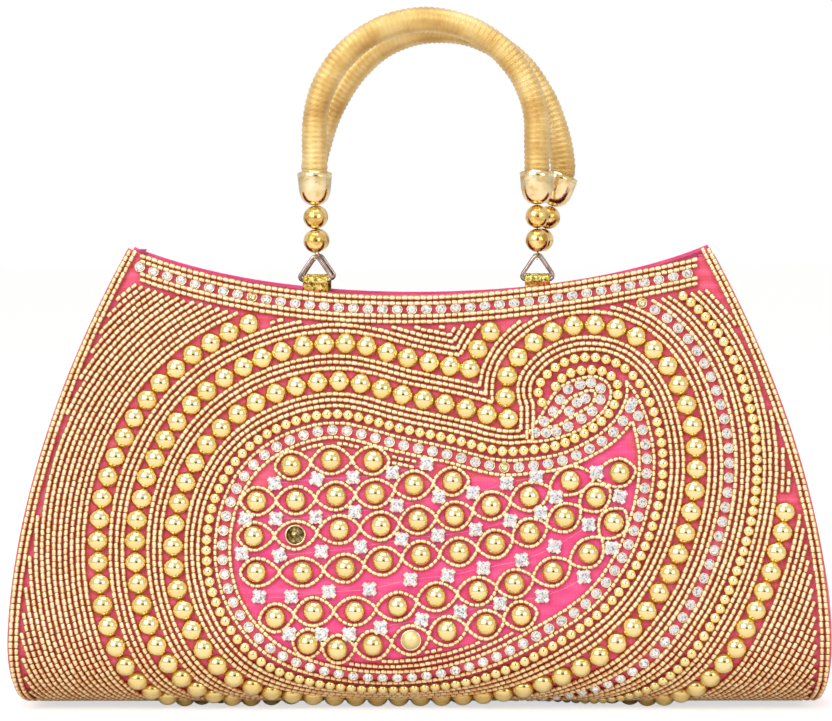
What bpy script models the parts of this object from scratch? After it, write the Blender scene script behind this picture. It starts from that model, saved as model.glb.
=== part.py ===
"""Beaded clutch bag with two thread-wound arch handles.

Metres, +Z up, front towards -Y, Z = 0 where the beads under the base stand. The bag's shell
is worked out about Y = 0, and every piece is then set back so that the origin is under the
middle of the whole depth, beads included.
The silk of the front runs on round the lower edge and under the base. It is one cloth, and
everything sewn on it is laid out in cloth coordinates: u across, v up from the line where the
flat front ends (v = 0), h outwards from the silk. Below v = 0 the cloth rounds the edge.
"""
import math

import bpy
import bmesh
import numpy as np

for leftover in list(bpy.data.objects):
    bpy.data.objects.remove(leftover, do_unlink=True)

MM = 0.001
GAP = 0.3 * MM                    # between two pieces that touch

# Bag body
BODY_WIDTH = 310 * MM             # at its widest, low on the sides
BASE_WIDTH = 300 * MM             # across the base, where the lower corners are drawn in
MOUTH_WIDTH = 221 * MM            # between the top corners
BODY_HEIGHT = 171 * MM            # underside of the base to the top corners
BASE_DEPTH = 72 * MM
MOUTH_DEPTH = 24 * MM
BASE_EDGE_RADIUS = 24 * MM
BASE_EDGE_FACETS = 8
SIDE_CURVE = 1.85                 # how late the sides turn in towards the mouth
WIDEST_V = -8 * MM                # cloth line where the front is widest
EDGE_DIP_LEFT = 18.4 * MM         # top edge, its middle below the left corner
EDGE_DIP_RIGHT = 15.3 * MM
EDGE_DIP_BACK = 18 * MM
EDGE_CURVE_LEFT = 2.3
EDGE_CURVE_RIGHT = 1.7
EDGE_CURVE_BACK = 2.1
SEAM_BACK = 11 * MM               # base seam to the back silk, behind the middle
COVER_THICK = 1.0 * MM
BOARD_THICK = 1.2 * MM
LINING_THICK = 0.6 * MM
BOARD_INSET = 3 * MM              # board edge inside the cover's edge
BOARD_DROP = 9 * MM               # board's top below the mouth, clear of the tab tails
GUSSET_BULGE = 2.2 * MM           # outwards, low on the side
GUSSET_FOLD = 5 * MM              # inwards, at the mouth
BASE_BOARD_WIDTH = 288 * MM
SNAP_RADIUS = 7 * MM
SNAP_THICK = 2.2 * MM
SNAP_DROP = 17 * MM               # snap centre below the middle of the mouth
SNAP_STUD_RADIUS = 2.4 * MM
SNAP_STUD_HEIGHT = 1.6 * MM
SNAP_WELL_RADIUS = 2.8 * MM
SNAP_WELL_DEPTH = 1.4 * MM

# Beads and stones
BIG_BEAD_D = 7.8 * MM
BIG_BEAD_H = 3.9 * MM
SMALL_BEAD_D = 3.8 * MM
SMALL_BEAD_H = 2.4 * MM
BEAD_SPACE = 0.3 * MM             # between two beads of one string
STONE_D = 3.2 * MM
STONE_H = 2.0 * MM
CLAW_STONE_SIDE = 4.6 * MM
CLAW_STONE_H = 2.8 * MM
BUGLE_D = 1.4 * MM
BUGLE_PITCH = 2.25 * MM           # between two rows of bugle beads
BUGLE_LIFT = 0.6 * MM             # rows ride this far off the silk, so the bends clear
STRING_D = 0.8 * MM               # thread from one run of beads to the next

# Rows of the beadwork, by their distance outwards from the paisley's edge
ROW_C = 12.6 * MM
ROW_B = 26.9 * MM
ROW_A = 41.2 * MM
ROW_CHAIN_RIGHT = 25.0 * MM
ROW_SMALL_RIGHT = 35.3 * MM
ROW_A_RIGHT = 47.6 * MM
BAND_INNER = 5.45 * MM            # middle of three bugle rows
BAND_C_B = 19.75 * MM
BAND_B_A = 34.05 * MM
BAND_CHAIN_SMALL = 30.0 * MM
BAND_SMALL_A = 40.6 * MM
BANDS_LEFT_FIRST = 48.8 * MM
BANDS_RIGHT_FIRST = 55.3 * MM
BAND_RIGHT_UPPER = 47.6 * MM
RIGHT_BEADS_TOP = 60 * MM         # the outer right beads end below this v
LEFT_ROWS_END = (31 * MM, 18 * MM)    # u at the top, u under the base
RIGHT_ROWS_END = (60 * MM, 26 * MM)
FIELD_BANDS = 6
ROW_INSIDE_FIRST = -3.3 * MM      # inside the paisley
ROW_INSIDE_CHAIN = -6.0 * MM
ROW_INSIDE_SECOND = -8.8 * MM
CURL_CHAIN = -2.9 * MM            # inside the curl's own loop
CURL_ROW = -5.6 * MM
TOP_BAND = 2.15 * MM              # below the mouth: two rows, stones, two rows
TOP_CHAIN = 5.8 * MM
TOP_BAND_LOWER = 9.55 * MM
SIDE_BAND = 2.55 * MM             # in from the side edges and the base seam: two rows
THREE_ROWS_HALF = 2.6 * MM
TWO_ROWS_HALF = 1.75 * MM
ONE_ROW_HALF = 0.7 * MM
THREAD_IN = TWO_ROWS_HALF + GAP + STRING_D / 2
ROWS_IN = THREAD_IN + STRING_D / 2 + GAP
STANDING_TILT = math.radians(70)  # beads tilted further than this carry the bag

# Paisley edge in cloth millimetres, clockwise from the left of its curled tip
PAISLEY = [(46.8, 85.2), (45.4, 89.9), (48.5, 95.5), (54.5, 100), (65, 102.3), (76.4, 99.2),
           (84.5, 91), (89.9, 78.5), (92.3, 63.2), (89.8, 44), (82, 23.5), (69, 6.4), (49.5, -6.9),
           (24, -19), (-8, -25.4), (-37.5, -21.8), (-60.9, -10.5), (-75, 7.5), (-79.8, 29.1),
           (-76.5, 49.5), (-65, 67.5), (-45, 78.8), (-30, 81), (-10, 76.4), (16.6, 70.4),
           (34, 66.6), (42, 67.2)]
PAISLEY_NOTCH = (46.5, 67.5)
CURL_ARM = [(42, 67.2), (52, 68.7), (62, 73), (70, 78.6), (74.6, 85.5), (75.5, 91.5), (72, 96.0),
            (64, 97.6), (56, 95.6), (51.9, 91.4), (51.0, 88.2)]
CURL_LOOP = [(49.8, 73.4), (51.0, 79.5), (54.3, 86.0), (56.4, 90.2), (60.0, 92.9), (65.3, 93.9),
             (70.2, 92.3), (71.6, 88.8), (69.5, 84), (65.2, 79.3), (59.5, 75.2), (53.5, 72.8)]
# Big beads in the paisley, row by row, as they were sewn by hand
LATTICE = [
    [(-48.0, 61.3), (-32.9, 63.2), (-17.0, 62.6)],
    [(-60.9, 48.1), (-46.2, 48.4), (-31.0, 50.0), (-16.3, 50.9), (-1.5, 54.1), (13.0, 55.4)],
    [(-62.0, 34.8), (-46.2, 35.2), (-29.7, 37.3), (-14.0, 38.6), (0.0, 40.9), (13.8, 42.4),
     (27.6, 46.2), (42.0, 49.6), (57.4, 55.6), (76.0, 58.6)],
    [(-60.9, 21.2), (-43.5, 21.2), (-27.4, 22.7), (-13.2, 25.4), (1.1, 27.6), (15.5, 28.8),
     (29.1, 31.8), (42.0, 36.0), (55.2, 41.6), (67.0, 49.2)],
    [(-53.7, 4.0), (-39.3, 6.4), (-23.8, 6.4), (-7.6, 8.3), (6.8, 11.9), (22.7, 14.0),
     (36.3, 16.8), (50.7, 21.2), (64.1, 28.2), (73.7, 39.8)],
    [(-41.5, -5.5), (-30.3, -7.6), (-17.0, -6.1), (-2.6, -4.2), (11.0, -0.8), (25.7, 1.5),
     (38.8, 4.9)],
]

# Handles
HANDLE_CENTRE = 3 * MM            # they sit a little right of the middle
RING_SPACING = 84.4 * MM          # between the two rings of one handle
GRIP_D = 9.9 * MM
GRIP_SEGMENTS = 12
FRONT_ARCH_RISE = 98.6 * MM       # grip's centre line above the ring bars
BACK_ARCH_RISE = 95.4 * MM
BACK_SPLAY = {-1: math.radians(3), 1: math.radians(17)}    # back links lean outwards
BACK_LEG_LEAN = {-1: math.radians(11), 1: math.radians(4)} # its grip leans in above the caps
BACK_TOP_SHIFT = 5 * MM           # top of the back grip to the right
GRIP_STRAIGHT = 1.5 * MM          # straight run of the grip above its cap
CAP_LENGTH = 13 * MM
CAP_MOUTH_R = 6.6 * MM
CAP_BODY_R = 6.2 * MM
CAP_FOOT_R = 1.3 * MM
CAP_HOLE_R = 0.6 * MM
CAP_FLOOR = 2.4 * MM
GRIP_SEAT = 5.6 * MM              # grip's end above the cap's foot
HANDLE_BEAD_D = 8.9 * MM
HANDLE_BEAD_BORE = 1.9 * MM
LINK_D = 0.5 * MM
LINK_EYE_R = 1.5 * MM
LINK_KNOT_R = 1.1 * MM
RING_HALF_WIDTH = 7.0 * MM        # to the centre line of the wire
RING_HEIGHT = 10.3 * MM
RING_WIRE_D = 1.9 * MM
RING_CORNER_R = 1.15 * MM
RING_APEX_R = 1.6 * MM
RING_TO_BEAD = 0.45 * MM
TAB_WIDTH = 9.4 * MM
TAB_THICK = 0.6 * MM
TAB_RISE = 2.6 * MM               # ring bar above the mouth, at the higher tab
TAB_TAIL = 7.5 * MM               # sewn in below the mouth


# Profile of the cloth

def front_profile():
    """Corners (y, z) of the front cloth from the flat's lower end to the base seam.

    The lower edge is a circle, and the flat front is its tangent through the mouth.
    """
    centre = np.array([-(BASE_DEPTH / 2 - BASE_EDGE_RADIUS), base_z() + BASE_EDGE_RADIUS])
    mouth = np.array([-MOUTH_DEPTH / 2, base_z() + BODY_HEIGHT])
    reach = mouth - centre
    lean = math.atan2(reach[0], reach[1]) + math.asin(BASE_EDGE_RADIUS / np.hypot(*reach))
    tilt = np.linspace(-lean, math.pi / 2, BASE_EDGE_FACETS + 1)
    arc = centre - BASE_EDGE_RADIUS * np.stack([np.cos(tilt), np.sin(tilt)], axis=1)
    seam = np.array([[SEAM_BACK, base_z()]])
    flat = math.sqrt(reach @ reach - BASE_EDGE_RADIUS ** 2)
    return np.vstack([arc, seam]), lean, flat


def base_z():
    """Height of the silk's underside: the beads under the base stand on their flat poles."""
    return BIG_BEAD_H + GAP


PROFILE, LEAN, FLAT_LENGTH = front_profile()
MOUTH_HALF = MOUTH_WIDTH / 2
BEND_V = -np.concatenate([[0], np.cumsum(np.hypot(*np.diff(PROFILE, axis=0).T))])
SEAM_V = BEND_V[-1]
BASE_V = BEND_V[-2]               # where the flat of the base begins
FACET_NORMAL = np.vstack([
    [-math.cos(LEAN), math.sin(LEAN)],
    [[dz, -dy] for dy, dz in np.diff(PROFILE, axis=0) / -np.diff(BEND_V)[:, None]],
])


def cloth(u, v, h):
    """Point on the front cloth at u, v and h outwards, in the bag's frame.

    The cloth is flat between its bend lines, and on a bend line it is mitred.
    """
    u, v, h = np.broadcast_arrays(*(np.asarray(a, float) for a in (u, v, h)))
    up = np.array([math.sin(LEAN), math.cos(LEAN)])
    facet = np.clip(np.searchsorted(-BEND_V, -v, side="left"), 0, len(BEND_V) - 1)
    start = PROFILE[np.maximum(facet - 1, 0)]
    normal = FACET_NORMAL[facet]
    along = np.stack([normal[..., 1], -normal[..., 0]], axis=-1)
    run = np.where(facet == 0, v, v - BEND_V[np.maximum(facet - 1, 0)])
    flat_part = np.where((facet == 0)[..., None], PROFILE[0] + v[..., None] * up,
                         start + run[..., None] * along)
    on_bend = np.abs(v[..., None] - BEND_V[:-1]).min(axis=-1) < 1e-7
    bend = np.abs(v[..., None] - BEND_V[:-1]).argmin(axis=-1)
    mitre = FACET_NORMAL[bend] + FACET_NORMAL[np.minimum(bend + 1, len(FACET_NORMAL) - 1)]
    mitre = mitre / (1 + (FACET_NORMAL[bend] * FACET_NORMAL[np.minimum(bend + 1, len(
        FACET_NORMAL) - 1)]).sum(axis=-1))[..., None]
    outward = np.where(on_bend[..., None], mitre, normal)
    yz = flat_part + h[..., None] * outward
    return np.concatenate([u[..., None], yz], axis=-1)


def tilt_at(v):
    """How far the silk has turned down at v: 0 on the flat, 90 degrees on the base."""
    facet = np.clip(np.searchsorted(-BEND_V, -np.asarray(v, float), side="left"),
                    0, len(BEND_V) - 1)
    return np.arctan2(-FACET_NORMAL[facet][..., 1], -FACET_NORMAL[facet][..., 0])


def half_width(v):
    """Half the cloth's width at v: a power curve up to the mouth, drawn in below."""
    v = np.asarray(v, float)
    rise = np.clip((v - WIDEST_V) / (FLAT_LENGTH - WIDEST_V), 0, None)
    above = (BODY_WIDTH - (BODY_WIDTH - MOUTH_WIDTH) * rise ** SIDE_CURVE) / 2
    fall = np.clip((WIDEST_V - v) / (WIDEST_V - BASE_V), 0, 1)
    return above - (BODY_WIDTH - BASE_WIDTH) / 2 * fall ** 2


def mouth_v(u, back=False):
    """v of the top edge at u: a dip in the middle, with its own depth on each side."""
    u = np.asarray(u, float)
    share = np.abs(u) / MOUTH_HALF
    if back:
        return FLAT_LENGTH - EDGE_DIP_BACK * (1 - share ** EDGE_CURVE_BACK)
    left = share ** EDGE_CURVE_LEFT * EDGE_DIP_LEFT
    right = share ** EDGE_CURVE_RIGHT * EDGE_DIP_RIGHT
    return FLAT_LENGTH - EDGE_DIP_LEFT + np.where(u < 0, left, right)


# Meshes

SETBACK = np.array([0, (BIG_BEAD_H + GAP) / 2, 0])


def add_piece(name, parts, colour, rough, metal=0.0, smooth=False, pivot=(0, 0, 0)):
    """One named object from a list of (vertices, faces), with its origin at its pivot."""
    vertices, faces, start = [], [], 0
    for points, polygons in parts:
        points = np.asarray(points, float).reshape(-1, 3)
        vertices.append(points)
        faces += [[start + i for i in polygon] for polygon in polygons]
        start += len(points)
    mesh = bpy.data.meshes.new(name)
    mesh.from_pydata((np.vstack(vertices) - pivot).tolist(), [], faces)
    work = bmesh.new()
    work.from_mesh(mesh)
    bmesh.ops.recalc_face_normals(work, faces=work.faces)
    work.to_mesh(mesh)
    work.free()
    if smooth:
        mesh.shade_smooth()
        mesh.set_sharp_from_angle(angle=math.radians(50))
    material = bpy.data.materials.new(name)
    material.use_nodes = True
    shader = material.node_tree.nodes["Principled BSDF"]
    shader.inputs["Base Color"].default_value = (*colour, 1)
    shader.inputs["Roughness"].default_value = rough
    shader.inputs["Metallic"].default_value = metal
    mesh.materials.append(material)
    piece = bpy.data.objects.new(name, mesh)
    piece.location = SETBACK + pivot
    bpy.context.collection.objects.link(piece)
    return piece


def shell(outer, inner):
    """Closed sheet between two grids of points (rows, columns, 3)."""
    rows, columns = outer.shape[:2]
    index = np.arange(rows * columns).reshape(rows, columns)
    back = index + rows * columns
    faces = []
    for grid, turned in ((index, False), (back, True)):
        quads = np.stack([grid[:-1, :-1], grid[1:, :-1], grid[1:, 1:], grid[:-1, 1:]], axis=-1)
        quads = quads.reshape(-1, 4)
        faces += (quads[:, ::-1] if turned else quads).tolist()
    rim = np.concatenate([index[0, :-1], index[:-1, -1], index[-1, :0:-1], index[:0:-1, 0]])
    rim_back = rim + rows * columns
    following = np.roll(rim, -1)
    faces += np.stack([rim, following, following + rows * columns, rim_back], axis=1).tolist()
    return np.concatenate([outer.reshape(-1, 3), inner.reshape(-1, 3)]), faces


def loft(rings, closed):
    """Solid through rings of equal count, closed on itself or capped at its ends."""
    rings = np.asarray(rings)
    count, sides = rings.shape[:2]
    index = np.arange(count * sides).reshape(count, sides)
    following = np.roll(index, -1, axis=0) if closed else index[1:]
    first = index if closed else index[:-1]
    quads = np.stack([first, np.roll(first, -1, axis=1), np.roll(following, -1, axis=1),
                      following], axis=-1).reshape(-1, 4).tolist()
    if not closed:
        quads += [index[0, ::-1].tolist(), index[-1].tolist()]
    return rings.reshape(-1, 3), quads


def sweep_rings(path, radius, sides, closed=False, start_side=(0, 1, 0)):
    """Rings of a round section carried along a path and mitred at its corners."""
    path = np.asarray(path, float)
    radius = np.broadcast_to(radius, len(path))
    ahead = np.roll(path, -1, axis=0) - path
    if not closed:
        ahead[-1] = ahead[-2]
    ahead /= np.linalg.norm(ahead, axis=1)[:, None]
    behind = np.roll(ahead, 1, axis=0)
    if not closed:
        behind[0] = ahead[0]
    side = np.array(start_side, float)
    side -= ahead[0] * (side @ ahead[0])
    side /= np.linalg.norm(side)
    turn = (np.arange(sides) + 0.5) * 2 * math.pi / sides
    rings = []
    for i in range(len(path)):
        side = side - behind[i] * (side @ behind[i])
        side /= np.linalg.norm(side)
        other = np.cross(behind[i], side)
        ring = radius[i] * (np.cos(turn)[:, None] * side + np.sin(turn)[:, None] * other)
        middle = behind[i] + ahead[i]
        middle /= np.linalg.norm(middle)
        ring -= behind[i] * ((ring @ middle) / (behind[i] @ middle))[:, None]
        rings.append(path[i] + ring)
        axis = np.cross(behind[i], ahead[i])
        if np.linalg.norm(axis) > 1e-9:
            bend = math.asin(min(1, np.linalg.norm(axis)))
            axis /= np.linalg.norm(axis)
            side = (side * math.cos(bend) + np.cross(axis, side) * math.sin(bend)
                    + axis * (axis @ side) * (1 - math.cos(bend)))
    return np.array(rings)


def turned(profile, place, sides):
    """Closed ring of revolution: a loop of (radius, height) turned about place's axis."""
    turn = np.arange(sides) * 2 * math.pi / sides
    rings = np.array([[place(r * math.cos(a), r * math.sin(a), z) for a in turn]
                      for r, z in profile])
    return loft(rings, closed=True)


# Paths on the cloth

def spline(points, closed, step):
    """Cubic spline through points, sampled about every step, by chord length."""
    points = np.asarray(points, float)
    if closed:
        points = np.vstack([points, points[:1]])
    chord = np.hypot(*np.diff(points, axis=0).T)
    knots = np.concatenate([[0], np.cumsum(chord)])
    count = len(points)
    system = np.zeros((count, count))
    right = np.zeros((count, 2))
    slope = np.diff(points, axis=0) / chord[:, None]
    for i in range(1, count - 1):
        system[i, i - 1:i + 2] = chord[i - 1], 2 * (chord[i - 1] + chord[i]), chord[i]
        right[i] = 6 * (slope[i] - slope[i - 1])
    if closed:
        system[0, [0, 1, -2]] = 2 * (chord[0] + chord[-1]), chord[0], chord[-1]
        right[0] = 6 * (slope[0] - slope[-1])
        system[-1, [0, -1]] = 1, -1
    else:
        system[0, 0] = system[-1, -1] = 1
    second = np.linalg.solve(system, right)
    at = np.linspace(0, knots[-1], max(4, int(knots[-1] / step)), endpoint=not closed)
    i = np.clip(np.searchsorted(knots, at, side="right") - 1, 0, count - 2)
    a = (knots[i + 1] - at)[:, None] / chord[i][:, None]
    b = 1 - a
    square = (chord[i] ** 2)[:, None] / 6
    return (a * points[i] + b * points[i + 1]
            + ((a ** 3 - a) * second[i] + (b ** 3 - b) * second[i + 1]) * square)


def line_to(points, end, step):
    """Points with a straight run added from the last one to end."""
    end = np.asarray(end, float)
    count = max(2, int(np.hypot(*(end - points[-1])) / step))
    share = np.linspace(0, 1, count + 1)[1:, None]
    return np.vstack([points, points[-1] + share * (end - points[-1])])


def offset_loop(loop, distance):
    """Closed loop moved outwards by distance, less what would come closer than that."""
    ahead = np.roll(loop, -1, axis=0) - np.roll(loop, 1, axis=0)
    normal = np.stack([-ahead[:, 1], ahead[:, 0]], axis=1) / np.hypot(*ahead.T)[:, None]
    moved = loop + normal * distance
    near = np.hypot(*(moved[:, None] - loop[None]).transpose(2, 0, 1)).min(axis=1)
    return moved[near > abs(distance) - 0.05 * MM]


def runs(path, allowed, closed):
    """Stretches of a path where allowed(points) holds."""
    keep = allowed(path)
    if keep.all():
        return [path]
    if closed:
        turn = int(np.argmin(keep))
        path, keep = np.roll(path, -turn, axis=0), np.roll(keep, -turn)
    edges = np.flatnonzero(np.diff(np.concatenate([[0], keep.astype(int), [0]])))
    pieces = [path[a:b] for a, b in zip(edges[::2], edges[1::2])]
    return [piece for piece in pieces if len(piece) > 3]


def evenly(path, pitch, closed=False):
    """Points every pitch along a path, and the directions there."""
    if closed:
        path = np.vstack([path, path[:1]])
    length = np.concatenate([[0], np.cumsum(np.hypot(*np.diff(path, axis=0).T))])
    count = int(length[-1] / pitch)
    if closed:
        at = np.arange(count) * length[-1] / count
    else:
        at = (length[-1] - (count - 1) * pitch) / 2 + np.arange(count) * pitch
    points = np.stack([np.interp(at, length, path[:, i]) for i in (0, 1)], axis=1)
    ahead = np.stack([np.interp(at + pitch / 4, length, path[:, i]) for i in (0, 1)], axis=1)
    before = np.stack([np.interp(at - pitch / 4, length, path[:, i]) for i in (0, 1)], axis=1)
    return points, np.arctan2(*(ahead - before).T[::-1])


def simplify(path, tolerance):
    """Fewest points that keep a path within tolerance."""
    start, end = path[0], path[-1]
    if len(path) < 3:
        return path
    run = end - start
    if np.hypot(*run) < 1e-6:
        off = np.hypot(*(path - start).T)
    else:
        off = np.abs((path[:, 0] - start[0]) * run[1] - (path[:, 1] - start[1]) * run[0])
        off /= np.hypot(*run)
    worst = int(off.argmax())
    if off[worst] < tolerance:
        return np.array([start, end])
    return np.vstack([simplify(path[:worst + 1], tolerance)[:-1],
                      simplify(path[worst:], tolerance)])


def at_bends(path):
    """Path with a point added wherever it crosses a bend line of the cloth."""
    out = [path[0]]
    for a, b in zip(path[:-1], path[1:]):
        crossed = [line for line in BEND_V[:-1] if (a[1] - line) * (b[1] - line) < -1e-14]
        for line in sorted(crossed, key=lambda w: abs(w - a[1])):
            out.append(a + (b - a) * (line - a[1]) / (b[1] - a[1]))
        out.append(b)
    path = np.array(out)
    near = np.abs(path[:, 1:2] - BEND_V[:-1])
    line = BEND_V[:-1][near.argmin(axis=1)]
    path[:, 1] = np.where(near.min(axis=1) < 0.4 * MM, line, path[:, 1])
    keep = np.concatenate([[True], np.hypot(*np.diff(path, axis=0).T) > 0.5 * MM])
    return path[keep]


# What is sewn on

BASE_COLOUR = (0.80, 0.06, 0.24)
GOLD = (0.83, 0.58, 0.22)
CHAMPAGNE = (0.86, 0.70, 0.42)
CRYSTAL = (0.86, 0.86, 0.88)
LINING_COLOUR = (0.42, 0.02, 0.06)
BOARD_COLOUR = (0.62, 0.56, 0.46)
STEEL = (0.55, 0.52, 0.48)
THREAD = (0.62, 0.38, 0.10)
LUREX = (0.66, 0.50, 0.14)


def seated(u, v, heading):
    """Placing function: x along the heading, y across it, z off the silk."""
    v = float(v)
    origin = cloth(u, v, 0.0)
    facet = int(np.clip(np.searchsorted(-BEND_V, -v, side="left"), 0, len(BEND_V) - 1))
    normal = np.array([0, *FACET_NORMAL[facet]])
    up = np.array([0, normal[2], -normal[1]])
    along = math.cos(heading) * np.array([1.0, 0, 0]) + math.sin(heading) * up
    across = np.cross(normal, along)
    return lambda points: origin + points @ np.array([along, across, normal])


NECK = (STRING_D / 2, BUGLE_LIFT, BUGLE_LIFT + STRING_D)
BRAID = (1.1 * MM, BUGLE_LIFT, BUGLE_LIFT + BUGLE_D)
BIG_BEAD = (BIG_BEAD_D, BIG_BEAD_H)
CLAW_STONE = (CLAW_STONE_SIDE, CLAW_STONE_H)


def section(place, x, half, low, high, crown):
    """Four corners of a bead's or a thread's section, x along its string."""
    return place(np.array([[x, -half, low], [x, half, low], [x, crown, high], [x, -crown, high]]))


def standing_dome(u, v):
    """Six-sided dome of a bead under the base, sunk into the silk that carries it."""
    place = seated(u, v, 0.0)
    turn = np.arange(6) * math.pi / 3
    rings = []
    for radius, height in ((BIG_BEAD_D / 2, -COVER_THICK * 0.4),
                           (BIG_BEAD_D * 0.37, GAP + BIG_BEAD_H * 0.66),
                           (BIG_BEAD_D * 0.17, GAP + BIG_BEAD_H)):
        rings.append(place(np.stack([radius * np.cos(turn), radius * np.sin(turn),
                                     np.full(6, height)], axis=1)))
    return loft(rings, False)


def thread_section(place, x, thread):
    """Section of a thread given as (half width, low, high)."""
    half, low, high = thread
    return section(place, x, half, low, high, half)


def strand(points, beads, closed=False, link=NECK):
    """Beads (width, height) on one thread, at points on the cloth.

    Beads side by side share a neck half way. Where they stand apart, a link joins them.
    """
    points = np.asarray(points)
    ahead = np.roll(points, -1, axis=0) - points
    space = np.hypot(*ahead.T)
    ahead /= space[:, None]
    behind = np.roll(ahead, 1, axis=0)
    if not closed:
        ahead[-1] = behind[-1]
        behind[0] = ahead[0]
        space[-1] = math.inf
    apart = space > 1.35 * BIG_BEAD_D
    rings = []
    for i, (u, v) in enumerate(points):
        place = seated(u, v, math.atan2(*(ahead[i] + behind[i])[::-1]))
        width, height = beads[i]
        first, last = i == 0, i == len(points) - 1
        if (first and not closed) or apart[i - 1]:
            thread = NECK if first and not closed else link
            rings.append(thread_section(place, -width / 2, thread))
        for x in (-width * 0.27, width * 0.27):
            rings.append(section(place, x, width / 2, GAP, GAP + height, width * 0.19))
        if apart[i]:
            rings.append(thread_section(place, width / 2, NECK if last else link))
        else:
            middle = points[i] + ahead[i] * space[i] / 2
            rings.append(thread_section(
                seated(*middle, math.atan2(*ahead[i][::-1])), 0.0, NECK))
    return loft(rings, closed)


def band(legs, height=BUGLE_D, crown=0.8, closed=False, tolerance=0.25 * MM):
    """Low ridge along legs (path, half width) on the cloth: rows of bugle beads or stones."""
    rings = []
    for path, half in legs:
        if closed:
            path = np.vstack([path, path[:1]])
        path = at_bends(simplify(path, tolerance))
        ahead = np.diff(path, axis=0)
        ahead /= np.hypot(*ahead.T)[:, None]
        before = np.vstack([ahead[-1:] if closed else ahead[:1], ahead])
        after = np.vstack([ahead, ahead[:1] if closed else ahead[-1:]])
        middle = before + after
        across = np.stack([-middle[:, 1], middle[:, 0]], axis=1)
        across /= (1 + (before * after).sum(axis=1))[:, None]
        reach = np.hypot(*across.T)[:, None]
        across *= np.minimum(reach, 1.6) / reach
        corners = [(-half, BUGLE_LIFT), (half, BUGLE_LIFT), (half * crown, BUGLE_LIFT + height),
                   (-half * crown, BUGLE_LIFT + height)]
        rings.append(np.stack([cloth(*(path + across * offset).T, lift)
                               for offset, lift in corners], axis=1))
    rings = np.concatenate(rings)
    return loft(rings[:-1] if closed else rings, closed)


def frame_strip(side, top, low):
    """Closed line round the cloth, inside its side edges, its mouth and its base seam."""
    v = np.linspace(SEAM_V + low, FLAT_LENGTH, 260)
    u = half_width(v) - side
    rising = np.stack([u, v], axis=1)[v < mouth_v(u) - top]
    falling_left = np.stack([-u, v], axis=1)[v < mouth_v(-u) - top]
    across = np.linspace(-1, 1, 240) * MOUTH_HALF
    upper = np.stack([across, mouth_v(across) - top], axis=1)
    upper = upper[np.abs(across) < half_width(upper[:, 1]) - side]
    lower = np.linspace(1, -1, 240)[:, None] * rising[0]
    lower[:, 1] = rising[0, 1]
    return np.vstack([falling_left, upper, rising[::-1], lower[1:-1]])


def linked(paths, half):
    """Legs of several paths joined end to end by a thread along the border.

    The next path is always the one with the nearest end.
    """
    strip = frame_strip(SIDE_BAND + THREAD_IN, TOP_BAND_LOWER + THREAD_IN, SIDE_BAND + THREAD_IN)
    rest = list(paths)
    path = rest.pop(0)
    legs = [(path, half)]
    while rest:
        ends = np.array([[p[0], p[-1]] for p in rest])
        away = np.hypot(*(ends - path[-1]).transpose(2, 0, 1))
        k, end = np.unravel_index(int(away.argmin()), away.shape)
        following = rest.pop(k)
        if end == 1:
            following = following[::-1]
        start, stop = (int(np.hypot(*(strip - at).T).argmin()) for at in (path[-1], following[0]))
        forward = (stop - start) % len(strip)
        backward = (start - stop) % len(strip)
        step = 1 if forward < backward else -1
        route = strip[(start + step * np.arange(min(forward, backward) + 1)) % len(strip)]
        legs.append((route, STRING_D / 2))
        legs.append((following, half))
        path = following
    return legs


def inside(points, top, side, low=0.0):
    """Whether points lie on the cloth, clear of its borders by top, side and low."""
    u, v = points.T
    return ((v < mouth_v(u) - top) & (np.abs(u) < half_width(v) - side)
            & (v > SEAM_V + low))


def left_part(points):
    """Left of the paisley's tip, and most of the base."""
    return points[:, 0] < np.where(points[:, 1] > 0, *LEFT_ROWS_END)


def right_part(points):
    """Right of the paisley's tip, and the right end of the base."""
    return points[:, 0] > np.where(points[:, 1] > 0, *RIGHT_ROWS_END)


def left_half(points):
    """Left of the middle."""
    return points[:, 0] < 0


def lower_right(points):
    """Right part below the end of the outer right beads."""
    return right_part(points) & (points[:, 1] < RIGHT_BEADS_TOP)


def upper_right(points):
    """Right part above the end of the outer right beads."""
    return right_part(points) & (points[:, 1] > RIGHT_BEADS_TOP)


def everywhere(points):
    """No limit of its own."""
    return np.full(len(points), True)


STEP = 0.8 * MM
body_edge = spline(np.array(PAISLEY) * MM, False, STEP)
outline = line_to(line_to(body_edge, np.array(PAISLEY_NOTCH) * MM, STEP),
                  body_edge[0], STEP)[:-1]
curl_arm = spline(np.array(CURL_ARM) * MM, False, STEP)
inner_edge = body_edge[int(np.hypot(*(body_edge - np.array([76.4, 99.2]) * MM).T).argmin()):]
inner_outline = np.vstack([inner_edge, curl_arm[1:int(len(curl_arm) * 0.62)]])
curl_loop = spline(np.array(CURL_LOOP) * MM, True, STEP)


def on_row(distance, part, reach):
    """Stretches of the paisley's edge moved outwards, clear of the borders by reach."""
    path = offset_loop(outline, distance)
    top, side = TOP_BAND_LOWER + reach, SIDE_BAND + reach
    return runs(path, lambda p: part(p) & inside(p, top, side, side), True)


def ring_from(loop, start, opening):
    """Closed loop as an open path that starts nearest to a point, less an opening."""
    turn = int(np.hypot(*(loop - start).T).argmin())
    cut = max(1, int(opening / 2 / STEP))
    return np.roll(loop, -turn, axis=0)[cut:-cut]


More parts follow.
